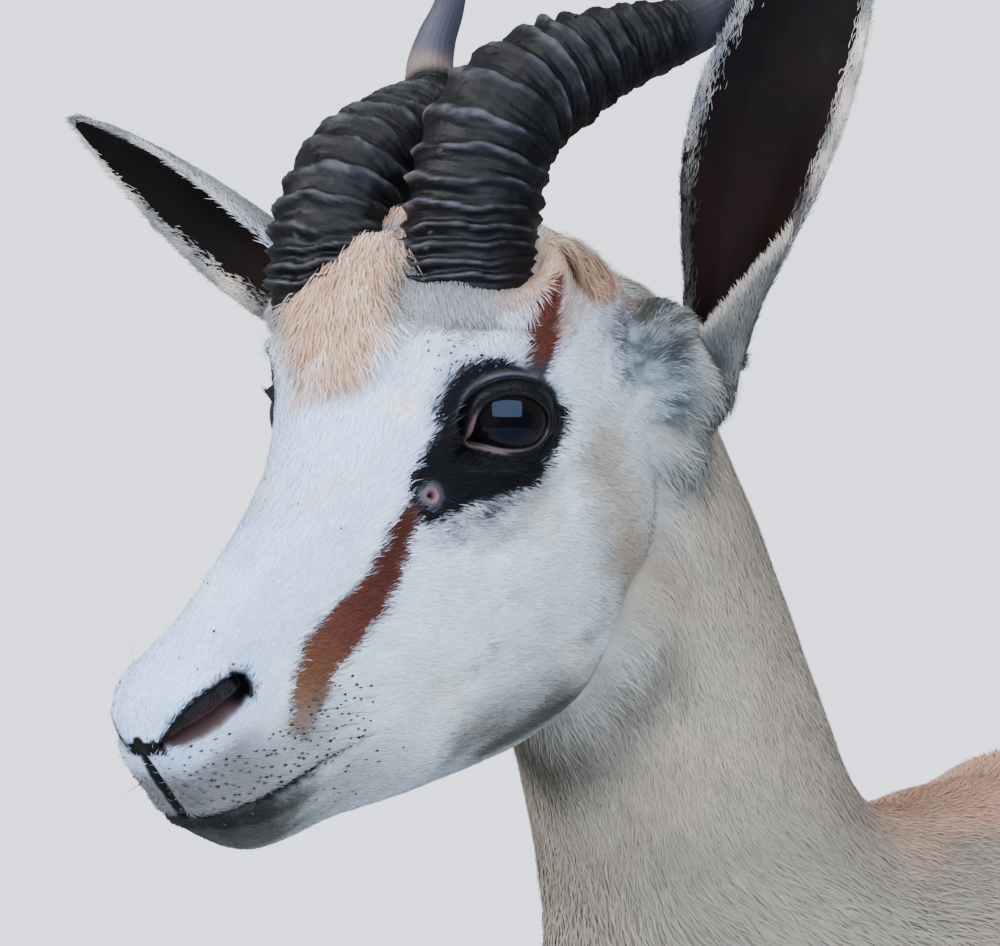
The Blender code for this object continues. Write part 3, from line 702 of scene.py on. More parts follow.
    # lips, chin and nose
    away, place = alongLine(left, mouthLine)
    below = smoothStep(1.5, -3.0, h - np.interp(u, [-3, 5, 13, 23, 33, 45, 58], [-30, -32, -36, -40, -43.5, -49, -55]))
    # grey over the upper lip: its own grey hair, deepened with painted shade
    made = mix(made, rgb["lip"], 0.75 * smoothStep(28, 8, away + 3 * fine) * (1 - below) * smoothStep(0.98, 0.6, place))
    made = mix(made, rgb["lip"] * 0.9, 0.9 * smoothStep(26, 10, u) * smoothStep(-7, -14, h) * (1 - below))
    made = mix(made, rgb["jaw"], 0.7 * below * smoothStep(85, 35, u) * smoothStep(40, 10, away + 5 * fine))
    # dark chin: its own dark hair, deepened with painted shade
    made = mix(made, rgb["chin"], 0.9 * smoothStep(-33, -40, h) * smoothStep(34, 8, u + 6 * fine + 3 * tiny))
    made = mix(made, rgb["chin"], below * smoothStep(34, 8, u + 6 * fine) * smoothStep(22, 7, away + 3 * tiny))
    made = mix(made, rgb["lipDark"], below * smoothStep(26, 6, u + 5 * fine) * smoothStep(11, 3, away + 2 * tiny))
    made = mix(made, rgb["lipDark"] * 0.6,
               smoothStep(2.7, 1.0, away + 1.7 * place**2 + 0.5 * tiny) * smoothStep(1.0, 0.7, place))
    nose = np.minimum(alongLine(head, [(0, -1, 2), (0, -3, -14), (0, -2.5, -29)])[0],
                      alongLine(head, [(-2.5, -2, 0.0), (6.5, -1, 0.2)])[0] - 0.3)
    made = mix(made, rgb["black"], smoothStep(2.9, 1.8, nose + 0.4 * tiny))
    away, place, half = toNostril(left)
    top = np.maximum(smoothStep(-1.0, 1.5, h - np.interp(u, [0, 10, 28], [0, 0, -1.5])), smoothStep(24, 27, u))
    rim = smoothStep(1.6, -0.6, away - half - 1.4 * top + 0.6 * tiny) * np.clip(0.35 + top, 0, 1)
    made = mix(made, rgb["black"], rim)
    depth = away / half * np.sign(h - np.interp(u, [0, 10, 28], [0, 0, -1.5]))
    # nostril lining: pale low and dark brown higher, black in the upper part and deep at the back, which is painted
    # shade inside the opening over the lining's own colour
    flesh = mix(rgb["nostrilPale"], rgb["nostril"], smoothStep(-0.95, -0.55, depth))
    flesh = mix(flesh, rgb["black"], np.maximum(smoothStep(-0.3, 0.4, depth), smoothStep(16, 23, u)))
    made = mix(made, flesh, smoothStep(0.2, -0.6, away - half))
    # gland: a pale pink ring about a dark hole
    away = np.linalg.norm(left - gland["place"], axis=1)
    made = mix(made, rgb["lidGrey"], 0.6 * smoothStep(5.6, 3.4, away + 0.4 * tiny))
    made = mix(made, rgb["pink"] * 0.85, 0.85 * smoothStep(3.0, 2.0, away))
    made = mix(made, rgb["black"], smoothStep(1.3, 0.8, away))
    # lids: grey fold over the eye, pink at the inner corner and along the lower lid
    sideways = np.cos(angle)
    fold = np.exp(-((share - 1.53) / 0.09) ** 2) * smoothStep(0.1, 0.75, np.sin(angle + 0.15)) * (local[:, 2] > 0)
    made = mix(made, rgb["lidGrey"], 0.9 * fold)
    corner = smoothStep(1.16, 1.04, share) * smoothStep(-0.5, -0.9, sideways) * (local[:, 2] > 0)
    made = mix(made, rgb["pink"], 0.6 * corner)
    return made


def bareShare(world):
    # 1 where skin shows with no hair over it
    head = inHead(world)
    left = folded(head)
    local = eyeLocal(left, 1)
    share, angle = lidShare(local)
    up = smoothStep(-0.3, 0.4, np.sin(angle))
    bare = smoothStep(0.14, 0.0, share - (1.28 + 0.36 * up)) * (local[:, 2] > -2)
    away, place = alongLine(left, mouthLine)
    bare = np.maximum(bare, smoothStep(2.6, 1.4, away + 1.6 * place**2))
    away = np.linalg.norm(left - gland["place"], axis=1)
    bare = np.maximum(bare, smoothStep(5.6, 4.6, away))
    away, place, half = toNostril(left)
    bare = np.maximum(bare, smoothStep(1.2, 0.2, away - half))
    away, _ = alongLine(head, [(0, -1, 2), (0, -3, -14), (0, -2.5, -29)])
    return np.maximum(bare, smoothStep(3.2, 2.2, away))


def skinMaterial():
    # tanned skin under short hair: dull where hair covers it, smoother and faintly moist where it is bare
    made, tree, shader = newMaterial("tanned hide skin", {"Specular IOR Level": 0.22})
    paintNode = painted(tree, "coatColour")
    bareNode = painted(tree, "bare")
    where = addNode(tree, "ShaderNodeTexCoord")
    pores = addNode(tree, "ShaderNodeTexVoronoi", {"Scale": 900.0}, {"Vector": where.outputs["Object"]})
    mottle = noise(tree, where, 260.0, 6.0)
    shade = blended(tree, "MULTIPLY", 0.35, paintNode.outputs["Color"], mottle.outputs["Color"])
    lighter = blended(tree, "MIX", 0.25, shade, paintNode.outputs["Color"])
    gloss = addNode(tree, "ShaderNodeMapRange", {"To Min": 0.85, "To Max": 0.55}, {"Value": bareNode.outputs["Fac"]})
    addBump(tree, shader, 0.35, 0.0004, pores.outputs["Distance"])
    feed(tree, shader, lighter, gloss.outputs["Result"])
    return made


def makeCoat():
    mesh = makeSkin()
    world = carve(mesh)
    made = placed("coat_skin", mesh, skinMaterial())
    paint(mesh, "coatColour", coatColours(world))
    paint(mesh, "bare", np.repeat(bareShare(world)[:, None], 3, axis=1))
    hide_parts("hide")
    print("coat skin", len(mesh.polygons), "faces")
    return made, world


skinPiece, skinBefore = makeCoat()


# ears: a cupped shell from the CAD's table, with ribs inside and a worn, hairy rim

ears = {
    "left": {"root": (61, 214, 116), "tip": (101, 243, 268), "open": (0.38, -0.9, 0.1), "bow": -7},
    "right": {"root": (-58, 208, 118), "tip": (-189, 190, 203), "open": (-0.33, -0.74, -0.55), "bow": 3},
    "table": [(0.00, 9.5, 8), (0.12, 12, 12), (0.24, 17, 15), (0.38, 22, 16), (0.54, 24, 14), (0.69, 21.5, 10),
              (0.81, 16, 6.5), (0.92, 9, 3.5), (1.00, 2.2, 1)],
    "thick": 3.2,
    "across": 26,
}


ears["smooth"] = through(ears["table"], 5)


def earPoint(shape, share, t, lift):
    # a point of the ear: share of its length, -1 to 1 across the cup, mm off its middle sheet into the cup
    root, tip = Vector(shape["root"]), Vector(shape["tip"])
    axis, opening, across = frameAt(tip - root, shape["open"])
    half = float(earHalf(share))
    depth = float(np.interp(share, [r[0] for r in ears["smooth"]], [r[2] for r in ears["smooth"]]))
    centre = root + axis * (tip - root).length * share + across * shape["bow"] * 4 * share * (1 - share)
    return centre + across * half * t + opening * (depth * (t * t - 0.5) + lift)


def earHalf(share):
    # half the ear's width at this share of its length
    return np.interp(share, [r[0] for r in ears["smooth"]], [r[1] for r in ears["smooth"]])


def makeEar(name):
    shape = ears[name]
    rings = []
    for row in range(47):
        share = row / 46
        inner, outer = [], []
        for k in range(ears["across"] + 1):
            t = 2 * k / ears["across"] - 1
            rim = 0.25 + 0.75 * math.sqrt(max(0.0, 1 - t * t))
            rib = 0.45 * math.cos(9 * t) * math.sin(math.pi * min(1, share * 1.2)) * (1 - t * t)
            ragged = 0.6 * math.sin(41 * share + 3 * t) * max(0, abs(t) - 0.9) * 10 * 0.4
            half = 0.5 * ears["thick"] * rim * (1.0 if share < 0.9 else 0.6)
            inner.append(earPoint(shape, share, t * 0.995, half + rib + ragged))
            outer.append(earPoint(shape, share, t * 1.02, -half))
        rings.append(inner + outer[::-1])
    bm = bmesh.new()
    gridSkin(bm, rings, headMatrix(False))
    made = newPiece(f"ear_{name}", bm, earMaterial())
    mesh = made.data
    local = inUpright(coordinates(mesh))
    root, tip = Vector(shape["root"]), Vector(shape["tip"])
    axis, opening, _ = frameAt(tip - root, shape["open"])
    outward = normals(mesh) @ headTurn(False)
    facing = outward @ np.array(opening)
    share = (local - np.array(root)) @ np.array(axis) / (tip - root).length
    spots = clouds(local, 14, 31)
    inside = mix(rgb["ear"], rgb["earRed"], np.clip(smoothStep(0.75, 0.2, share) + 0.3 * spots, 0, 1))
    outside = mix(rgb["earBack"], rgb["cheek"], smoothStep(0.25, 0.0, share))
    shade = mix(outside, inside, smoothStep(-0.1, 0.15, facing))
    paint(mesh, "coatColour", shade)
    paint(mesh, "bare", np.full((len(local), 3), 0.4))
    return made


@cache
def earMaterial():
    # dried ear skin: leathery, dull, darkening to black, with fine wrinkles across
    made, tree, shader = newMaterial("dried ear skin", {"Specular IOR Level": 0.1})
    paintNode = painted(tree, "coatColour")
    where = addNode(tree, "ShaderNodeTexCoord")
    mottle = noise(tree, where, 140.0, 8.0, 0.65)
    shade = blended(tree, "OVERLAY", 0.5, paintNode.outputs["Color"], mottle.outputs["Color"])
    rough = addNode(tree, "ShaderNodeMapRange", {"To Min": 0.55, "To Max": 0.9}, {"Value": mottle.outputs["Fac"]})
    addBump(tree, shader, 0.5, 0.0006, mottle.outputs["Fac"])
    feed(tree, shader, shade, rough.outputs["Result"])
    return made


def makeFlap(name):
    # the ear's outer edge curls forward at its foot and meets the front edge in a notch
    shape = ears[name]
    side = 1 if name == "left" else -1
    turn = np.array(headMatrix(False).inverted() @ headMatrix())
    notch = applied(turn, np.array([[side * 65.5, 229.5, -52.0]]))[0]
    root, tip = Vector(shape["root"]), Vector(shape["tip"])
    _, opening, across = frameAt(tip - root, shape["open"])
    outward = np.array(opening) * 0.8 + np.array(across) * 0.5 * side
    rings = []
    for row in range(25):
        share = 0.34 * row / 24 - 0.04
        rim = np.array(earPoint(shape, share, side * 1.0, 0))
        top = np.array(earPoint(shape, 0.30, side * 1.0, 0))
        edge = notch + (top - notch) * (row / 24) ** 0.9
        front, back = [], []
        for k in range(13):
            q = k / 12
            p = rim * (1 - q) + edge * q + outward * 3.2 * math.sin(math.pi * min(1, q * 0.9)) * (1 - row / 24) ** 0.5
            front.append(p + outward * 0.7)
            back.append(p - outward * 0.7)
        rings.append(front + back[::-1])
    bm = bmesh.new()
    gridSkin(bm, rings, headMatrix(False))
    made = newPiece(f"ear_flap_{name}", bm, earMaterial())
    local = inHead(coordinates(made.data))
    paint(made.data, "coatColour", np.tile(rgb["earFoot"] * 0.8, (len(local), 1)))
    surface = Surface(made.data)
    where, outwards = surface.spots(hair["loose"]["earFlap"], np.ones(len(surface.middle)))
    edgeWay = headMatrix(False).to_3x3().normalized() @ Vector(tip - root).normalized()
    way = np.tile(np.array(edgeWay), (len(where), 1)) * 0.7 + dice.normal(0, 0.12, (len(where), 3))
    way -= np.array(headMatrix(False).to_3x3().normalized() @ across) * side * 0.55
    number = len(where)
    spot = inHead(where)
    pale = np.clip(0.45 + 0.7 * clouds(spot, 9, 84), 0, 1)
    tone = mix(rgb["earFoot"] * 0.7, rgb["jaw"] * 0.85, pale)
    low = inUpright(where)
    away, _ = alongLine(low, [tuple(notch), tuple(np.array(earPoint(shape, 0.30, side, 0)))])
    tone = mix(tone, rgb["cream"] * 0.7, smoothStep(3.5, 0.8, away))
    blades(f"hair_flap_{name}", where, outwards, laidDown(way, outwards), mm * dice.uniform(3, 6, number),
           mm * dice.uniform(0.2, 0.4, number), tone, 0.12 * dice.uniform(0.4, 1.5, number))


earPieces = {name: makeEar(name) for name in ("left", "right")}
print("ears done")


# horns: ringed keratin sheaths along the CAD's lines

hornTints = {"black": "#030304", "slate": "#0B0C0F", "pale": "#54525B", "tip": "#4B4B57", "worn": "#8C7A70"}
hornTints = {name: np.array(linear(value)) for name, value in hornTints.items()}
horns = {
    "seat": (190.0, 3.0),
    "left": [((22.5, -2, -7), 44), ((22.7, -1.5, 4), 46), ((23, -1, 16), 45), ((23.3, 1.5, 33), 45),
             ((23.8, 6.5, 48), 44), ((25, 12.5, 57.5), 43), ((27, 22.5, 65.5), 40.5), ((30.5, 36, 72.5), 37),
             ((36, 52, 80), 31.5), ((43, 69.5, 86), 25.5), ((50, 89, 92.5), 19.5), ((55, 104, 103), 15.5),
             ((56.5, 112, 122), 12.5), ((53, 113, 143), 9.5), ((46, 107, 163), 6.3), ((36, 97, 178), 2.4)],
    "right": [((26, -7, -7), 43), ((26.5, -7, 3), 45), ((27, -6.5, 13), 44), ((27, -4.5, 23), 44),
              ((27.5, 1, 33), 43.5), ((28, 11, 41), 42), ((29.5, 22.5, 47.5), 39), ((32.5, 38, 54), 35),
              ((38, 55, 60.5), 29), ((45, 69, 66.5), 24), ((51.5, 78.5, 73.5), 20), ((55.5, 83, 82), 17.5),
              ((55, 86, 92), 14.5), ((50.5, 87, 103), 11.5), ((43.5, 84, 121), 8), ((37, 78, 137), 5.3),
              ((29, 72, 151), 2.2)],
    "oval": 1.05,
    "sides": 72,
    "ringFirst": 12.0,
    "ringSteps": [4.2, 4.4, 4.8, 5.4, 6.4, 7.6, 8.8, 9.8, 10.2, 10.2, 10.0, 9.8, 9.4, 9.0, 8.8, 8.4, 8.0],
    "ringHeight": 3.0,
    "core": 0.89,
    "rowStep": 0.75,
}


def hornBump(s, angle, feet, roll):
    # height of the rings at this place, its crest wandering along the horn from ring to ring
    wander = 1.1 * math.sin(2 * angle + 1.3) + 0.55 * math.sin(5 * angle + 0.14 * s)
    s = s + wander + 0.3 * math.sin(11 * angle + 0.2 * s)
    i = int(np.searchsorted(feet, s)) - 1
    if i < 0 or i >= len(feet) - 1:
        return 0.0
    step = feet[i + 1] - feet[i]
    t = (s - feet[i]) / step
    crest = 0.55 + 0.08 * math.sin(3 * angle + 2.1 * i)
    shape = math.exp(-(abs(t - crest) / (0.25 if t < crest else 0.17)) ** 1.6)
    fade = min(1.0, (feet[-1] + 20 - s) / 70)
    wave = 0.85 + 0.25 * math.sin(2 * angle + 1.9 * i) * roll[i] + 0.1 * math.sin(7 * angle + i)
    front = 0.75 + 0.25 * math.cos(angle)
    return shape * fade * wave * front


def makeHorn(name):
    side = 1 if name == "left" else -1
    track = through([(*p, d) for p, d in horns[name]], 12)
    places = [Vector(row[:3]) for row in track]
    length = np.concatenate([[0], np.cumsum([(b - a).length for a, b in zip(places, places[1:])])])
    feet = np.concatenate([[horns["ringFirst"]], horns["ringFirst"] + np.cumsum(horns["ringSteps"])])
    feet = feet * (1 if side > 0 else 0.965)
    roll = np.random.default_rng(77 if side > 0 else 78).uniform(0.3, 1.0, len(feet))
    tilt = Matrix.Rotation(math.radians(headPlace["tilt"]), 3, "X")
    seat = tilt @ Vector((0, *horns["seat"]))
    rows = int(length[-1] / horns["rowStep"])
    rings, heights, alongs, angles = [], [], [], []
    for row in range(rows + 1):
        s = length[-1] * row / rows
        here = float(np.interp(s, length, range(len(length))))
        i = min(int(here), len(places) - 2)
        spot = places[i].lerp(places[i + 1], here - i)
        forward = (places[i + 1] - places[i]).normalized()
        radius = float(np.interp(s, length, [r[3] for r in track])) * horns["core"] / 2
        _, front, across = frameAt(forward, (0, -1, 0.4))
        ring = []
        for k in range(horns["sides"]):
            angle = 2 * math.pi * k / horns["sides"]
            bump = hornBump(s, angle, feet, roll)
            groove = 0.10 * math.sin(23 * angle + 0.02 * s) + 0.08 * math.sin(41 * angle)
            if s < feet[-1]:
                groove += 0.22 * math.sin(2.5 * s + 1.3 * math.sin(3 * angle) + 0.8 * math.sin(7 * angle + 0.1 * s))
            size = radius + bump * horns["ringHeight"] * min(1, radius / 14) * 1.15 + groove * min(1, radius / 8)
            p = spot + (front * math.cos(angle) * horns["oval"] + across * math.sin(angle)) * float(size)
            ring.append((side * p.x, p.y + seat.y, p.z + seat.z))
            heights.append(bump)
            alongs.append(s)
            angles.append(angle)
        rings.append(ring)
    bm = bmesh.new()
    gridSkin(bm, rings, headMatrix(False))
    made = newPiece(f"horn_sheath_{name}", bm, hornMaterial())
    mesh = made.data
    flat = np.array([p for ring in rings for p in ring])
    world = applied(headMatrix(False), flat)
    tree = Nearest(world)
    nearest = tree.nearest(coordinates(mesh))
    bumps, alongs, angles = (np.array(v)[nearest] for v in (heights, alongs, angles))
    local = inUpright(coordinates(mesh))
    worn, spots = clouds(local, 16, 41), clouds(local, 4, 42)
    smooth = smoothStep(feet[-1] - 8, feet[-1] + 10, alongs)
    # ring colour by height: near black in the grooves, slate on the flanks, pale on the crests; painted shade and
    # painted highlight over the horn's dust and wear
    dustAndShade = smoothStep(0.1, 0.55, bumps) * (0.7 + 0.4 * worn) + 0.25 * worn
    tone = mix(hornTints["black"], hornTints["slate"], np.clip(dustAndShade, 0, 1))
    tone = mix(tone, hornTints["pale"], np.clip(smoothStep(0.5, 0.8, bumps) * (0.4 + 0.4 * spots), 0, 1))
    tone = mix(tone, hornTints["tip"], 0.75 * smooth * (side < 0) + 0.35 * smooth * (side > 0))
    tone = mix(tone, hornTints["worn"], 0.55 * np.exp(-((alongs - feet[-1] - 1) / 6) ** 2) * (side < 0))
    inner = smoothStep(0.6, 0.95, np.cos(angles - 5.1)) * smoothStep(22, 34, alongs) * smoothStep(80, 55, alongs)
    inner = 0.7 * inner * smoothStep(0.5, 0.95, bumps) * (side > 0)
    tone = mix(tone, hornTints["worn"], np.clip(inner, 0, 1))
    paint(mesh, "keratin", tone)
    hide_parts(f"horn_{name}")
    print("horn", name, len(mesh.polygons), "faces")
    return made


class Nearest:
    # nearest of a set of points
    def __init__(self, points):
        self.tree = KDTree(len(points))
        for i, p in enumerate(points):
            self.tree.insert(p, i)
        self.tree.balance()

    def nearest(self, points):
        return np.array([self.tree.find(p)[1] for p in points])


@cache
def hornMaterial():
    # horn keratin, grown in layers: satin black with fine lengthwise fibres and faint dust; its painted colour is
    # darker in the grooves and paler on the worn crests, painted shade and painted highlight over wear
    made, tree, shader = newMaterial("ringed horn keratin", {"Specular IOR Level": 0.22})
    tone = painted(tree, "keratin")
    where = addNode(tree, "ShaderNodeTexCoord")
    grain = noise(tree, where, 420.0, 8.0, 0.7)
    dust = noise(tree, where, 90.0, 5.0)
    dustAndShade = addNode(tree, "ShaderNodeMapRange", {"From Min": 0.5, "From Max": 0.8, "To Max": 0.05},
                    {"Value": dust.outputs["Fac"]})
    shade = addNode(tree, "ShaderNodeMix", {"data_type": "RGBA", 7: colour("#6F6E74")},
                    {"Factor": dustAndShade.outputs["Result"], 6: tone.outputs["Color"]}).outputs[2]
    rough = addNode(tree, "ShaderNodeMapRange", {"To Min": 0.30, "To Max": 0.62}, {"Value": grain.outputs["Fac"]})
    addBump(tree, shader, 0.6, 0.0006, grain.outputs["Fac"])
    feed(tree, shader, shade, rough.outputs["Result"])
    return made


for name in ("left", "right"):
    makeHorn(name)


# glass eyes and moist lid rims

def glassMaterial():
    # blown glass eye: near-black iris seen through a clear, perfectly smooth coat; its reflections are tinted blue,
    # standing in for a bluish light
    made, tree, shader = newMaterial("glass eye", {"Roughness": 0.03, "Specular IOR Level": 0.24,
                                                        "Specular Tint": colour("#BCD4FF")})
    tone = painted(tree, "iris")
    feed(tree, shader, tone.outputs["Color"])
    return made


def makeEyes():
    glass = glassMaterial()
    for side, name in ((1, "left"), (-1, "right")):
        centre, along, up, out = eyeFrame(side)
        turn = Matrix((along, up * side, out)).transposed().to_4x4() if side > 0 else Matrix(
            (along, out.cross(along), out)).transposed().to_4x4()
        place = headMatrix() @ Matrix.Translation(centre) @ turn @ Matrix.Scale(eye["radius"], 4)
        bm = bmesh.new()
        bmesh.ops.create_uvsphere(bm, u_segments=96, v_segments=64, radius=1, matrix=place)
        made = newPiece(f"eyeball_{name}", bm, glass)
        local = eyeLocal(inHead(coordinates(made.data)), side) / eye["radius"]
        x, y, z = local.T
        far = np.sqrt(x * x + y * y)
        pupil = smoothStep(1.05, 0.95, np.sqrt((x / 0.42) ** 2 + (y / 0.3) ** 2)) * (z > 0)
        iris = smoothStep(0.8, 0.74, far) * (z > 0)
        rays = 0.5 + 0.5 * np.sin(np.arctan2(y, x) * 46 + 5 * far)
        tone = mix(np.array(linear("#0B0908")), np.array(linear("#120C08")), iris * (0.5 + 0.5 * rays))
        tone = mix(tone, np.array(linear("#050506")), pupil)
        paint(made.data, "iris", tone)
        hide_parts(f"eye_{name}")


lidRim = {"radius": 0.6, "sides": 10}


def makeLidRims():
    for side, name in ((1, "left"), (-1, "right")):
        loop = np.array(through(eye["margin"], 9, closed=True))
        angle = np.arctan2(loop[:, 1] - eye["middle"][1], loop[:, 0] - eye["middle"][0])
        rings, tones = [], []
        count = len(loop)
        for i in range(count):
            x, y = (loop[i] - eye["middle"]) * 0.985 + eye["middle"]
            reach = eye["radius"] + 0.35
            z = math.sqrt(max(reach**2 - x * x - y * y, 0.4))
            ahead = loop[(i + 1) % count] - loop[i - 1]
            size = lidRim["radius"] * (1.15 + 0.35 * math.sin(-angle[i]))
            _, first, second = frameAt((ahead[0], ahead[1], 0), (0, 0, 1))
            ring = [np.array((x, y, z)) + size * (np.array(first) * math.cos(a) + np.array(second) * math.sin(a))
                    for a in (2 * math.pi * k / lidRim["sides"] for k in range(lidRim["sides"]))]
            rings.append(eyeBack(np.array(ring), side))
        rings.append(rings[0])
        bm = bmesh.new()
        gridSkin(bm, rings, headMatrix(), caps=False)
        bmesh.ops.remove_doubles(bm, verts=bm.verts, dist=1e-7)
        made = newPiece(f"lid_rim_{name}", bm, rimMaterial())
        local = eyeLocal(inHead(coordinates(made.data)), side)
        turn = np.arctan2(local[:, 1] - eye["middle"][1], local[:, 0] - eye["middle"][0])
        pink = np.interp(turn, [-3.14, -2.7, -1.9, -1.0, -0.4, 0.4, 2.8, 3.14],
                         [0.9, 1.0, 0.75, 0.5, 0.2, 0.0, 0.0, 0.7])
        ball = np.sqrt(np.maximum(eye["radius"]**2 - np.sum(local[:, :2]**2, 1), 0))
        pink *= smoothStep(-0.5, 0.4, local[:, 2] - ball)
        tone = mix(np.array(linear("#0A090A")), np.array(linear("#42393E")), pink)
        paint(made.data, "coatColour", tone)


@cache
def rimMaterial():
    # lid edge set in waxed clay: smooth and a little wet
    made, tree, shader = newMaterial("waxed lid edge", {"Roughness": 0.38, "Specular IOR Level": 0.35})
    tone = painted(tree, "coatColour")
    where = addNode(tree, "ShaderNodeTexCoord")
    grain = noise(tree, where, 1200.0, 4.0)
    addBump(tree, shader, 0.3, 0.0002, grain.outputs["Fac"])
    feed(tree, shader, tone.outputs["Color"])
    return made


makeEyes()
makeLidRims()
print("eyes done")


# hair: tapered blades laid over the skin, joined into a few meshes

hair = {
    "pieces": {  # number of blades, length and width in mm
        "hair_face": {"count": 170000, "where": "face", "length": 6.0, "width": 0.36, "split": 2},
        "hair_neck": {"count": 140000, "where": "neck", "length": 12.0, "width": 0.45, "split": 2},
        "hair_body": {"count": 80000, "where": "body", "length": 16.0, "width": 0.8, "split": 1},
    },
    "lift": 0.09,
    "loose": {"forelock": 20000, "earBack": 26000, "earFringe": 14000, "earFlap": 5200, "whiskerPit": 900},
    "wallGap": 0.0024,
}


@cache
def hairMaterial():
    # dry animal hair: soft sheen, no clear gloss; its colour runs from root to tip in the piece's own attribute
    made, tree, shader = newMaterial("dry coat hair", {"Roughness": 0.75, "Specular IOR Level": 0.12,
                                                       "Sheen Weight": 0.04, "Sheen Roughness": 0.5})
    tone = painted(tree, "hairColour")
    feed(tree, shader, tone.outputs["Color"])
    return made


def unit(v):
    return v / np.maximum(np.linalg.norm(v, axis=1), 1e-9)[:, None]


def laidDown(way, outward):
    # the way pressed flat on the skin
    return unit(way - outward * np.sum(way * outward, axis=1)[:, None])


def hairFlow(world, outward):
    # the way the hair lies
    head = inHead(world)
    turn = headTurn()
    out = outward @ turn  # normals in the head frame
    sideways = np.clip(np.abs(out[:, 0]), 0, 1)
    drop = sideways * smoothStep(5, -25, head[:, 2]) * (0.7 + 0.8 * smoothStep(80, 150, head[:, 1]))
    face = np.stack([np.zeros(len(head)), np.full(len(head), 1.0), -drop], 1)
    brow = smoothStep(150, 175, head[:, 1]) * smoothStep(-5, 10, head[:, 2]) * smoothStep(200, 185, head[:, 1])
    fan = np.stack([0.02 * head[:, 0], np.full(len(head), -1.0), np.full(len(head), -0.15)], 1)
    face = face * (1 - brow[:, None]) + fan * brow[:, None]
    face = unit(face) @ turn.T
    down = np.tile(np.array([0, 0.42, -0.9]), (len(head), 1))
    low = smoothStep(150, 60, world[:, 2] / mm)
    down = down * (1 - low[:, None]) + np.array([0, 0.85, -0.5]) * low[:, None]
    neck = neckShare(head)[:, None]
    return laidDown(face * (1 - neck) + down * neck, outward)


def blades(name, roots, outward, way, length, width, tone, lift):
    # four points and two triangles for each hair
    count = len(roots)
    side = np.cross(outward, way)
    middle = roots + way * (length * 0.5)[:, None] + outward * (length * lift)[:, None]
    end = roots + way * length[:, None] + outward * (length * lift * 0.55)[:, None]
    end += side * (length * dice.normal(0, 0.08, count))[:, None]
    half = side * (width / 2)[:, None]
    points = np.stack([roots - outward * 0.0003, middle - half, middle + half, end], 1).reshape(-1, 3)
    points[:, 1] = np.minimum(points[:, 1], -hair["wallGap"])  # hair ends before the wall
    base = np.arange(count)[:, None] * 4
    faces = np.concatenate([base + [0, 1, 2], base + [1, 3, 2]], 1).reshape(-1, 3)
    mesh = bpy.data.meshes.new(name)
    mesh.vertices.add(len(points))
    mesh.vertices.foreach_set("co", points.ravel())
    mesh.loops.add(faces.size)
    mesh.loops.foreach_set("vertex_index", faces.ravel())
    mesh.polygons.add(len(faces))
    mesh.polygons.foreach_set("loop_start", np.arange(len(faces)) * 3)
    mesh.update(calc_edges=True)
    made = placed(name, mesh, hairMaterial())
    facing = outward + side * dice.normal(0, 0.13, count)[:, None] - way * dice.normal(0.0, 0.08, count)[:, None]
    mesh.normals_split_custom_set_from_vertices(np.repeat(unit(facing), 4, axis=0))
    shades = np.stack([tone * 0.92, tone, tone, np.clip(tone * 1.03, 0, 1)], 1).reshape(-1, 3)
    paint(mesh, "hairColour", shades)
    return made


class Surface:
    # triangles of a piece, ready for picking random spots on it
    def __init__(self, mesh, before=None):
        mesh.calc_loop_triangles()
        corners = np.empty(len(mesh.loop_triangles) * 3, dtype=np.int64)
        mesh.loop_triangles.foreach_get("vertices", corners)
        self.corners = corners.reshape(-1, 3)
        self.points = coordinates(mesh)
        self.before = self.points if before is None else before
        self.normals = normals(mesh)
        a, b, c = (self.points[self.corners[:, k]] for k in range(3))
        self.area = np.linalg.norm(np.cross(b - a, c - a), axis=1) / 2
        self.middle = self.before[self.corners].mean(1)

    def spots(self, count, weight):
        share = self.area * weight
        picked = dice.choice(len(share), count, p=share / share.sum())
        r1, r2 = np.sqrt(dice.random(count)), dice.random(count)
        mixing = np.stack([1 - r1, r1 * (1 - r2), r1 * r2], 1)[:, :, None]
        where = (self.points[self.corners[picked]] * mixing).sum(1)
        outward = unit((self.normals[self.corners[picked]] * mixing).sum(1))
        self.marked = (self.before[self.corners[picked]] * mixing).sum(1)
        return where, outward


def clearOfOthers(world):
    # no hair inside the horns' bases or behind the wall edge
    away = np.ones(len(world))
    upright = inUpright(world)
    tilt = Matrix.Rotation(math.radians(headPlace["tilt"]), 3, "X")
    seat = np.array(tilt @ Vector((0, *horns["seat"])))
    for name, side in (("left", 1), ("right", -1)):
        line = [(side * p[0], p[1] + seat[1], p[2] + seat[2]) for p, _ in horns[name][:5]]
        near, _ = alongLine(upright, line)
        away *= smoothStep(16.5, 18.0, near)
    head = inHead(world)
    near, _ = alongLine(folded(head), earFoot)
    away *= smoothStep(9.5, 11.5, near)
    away *= world[:, 1] < -0.0035
    return away


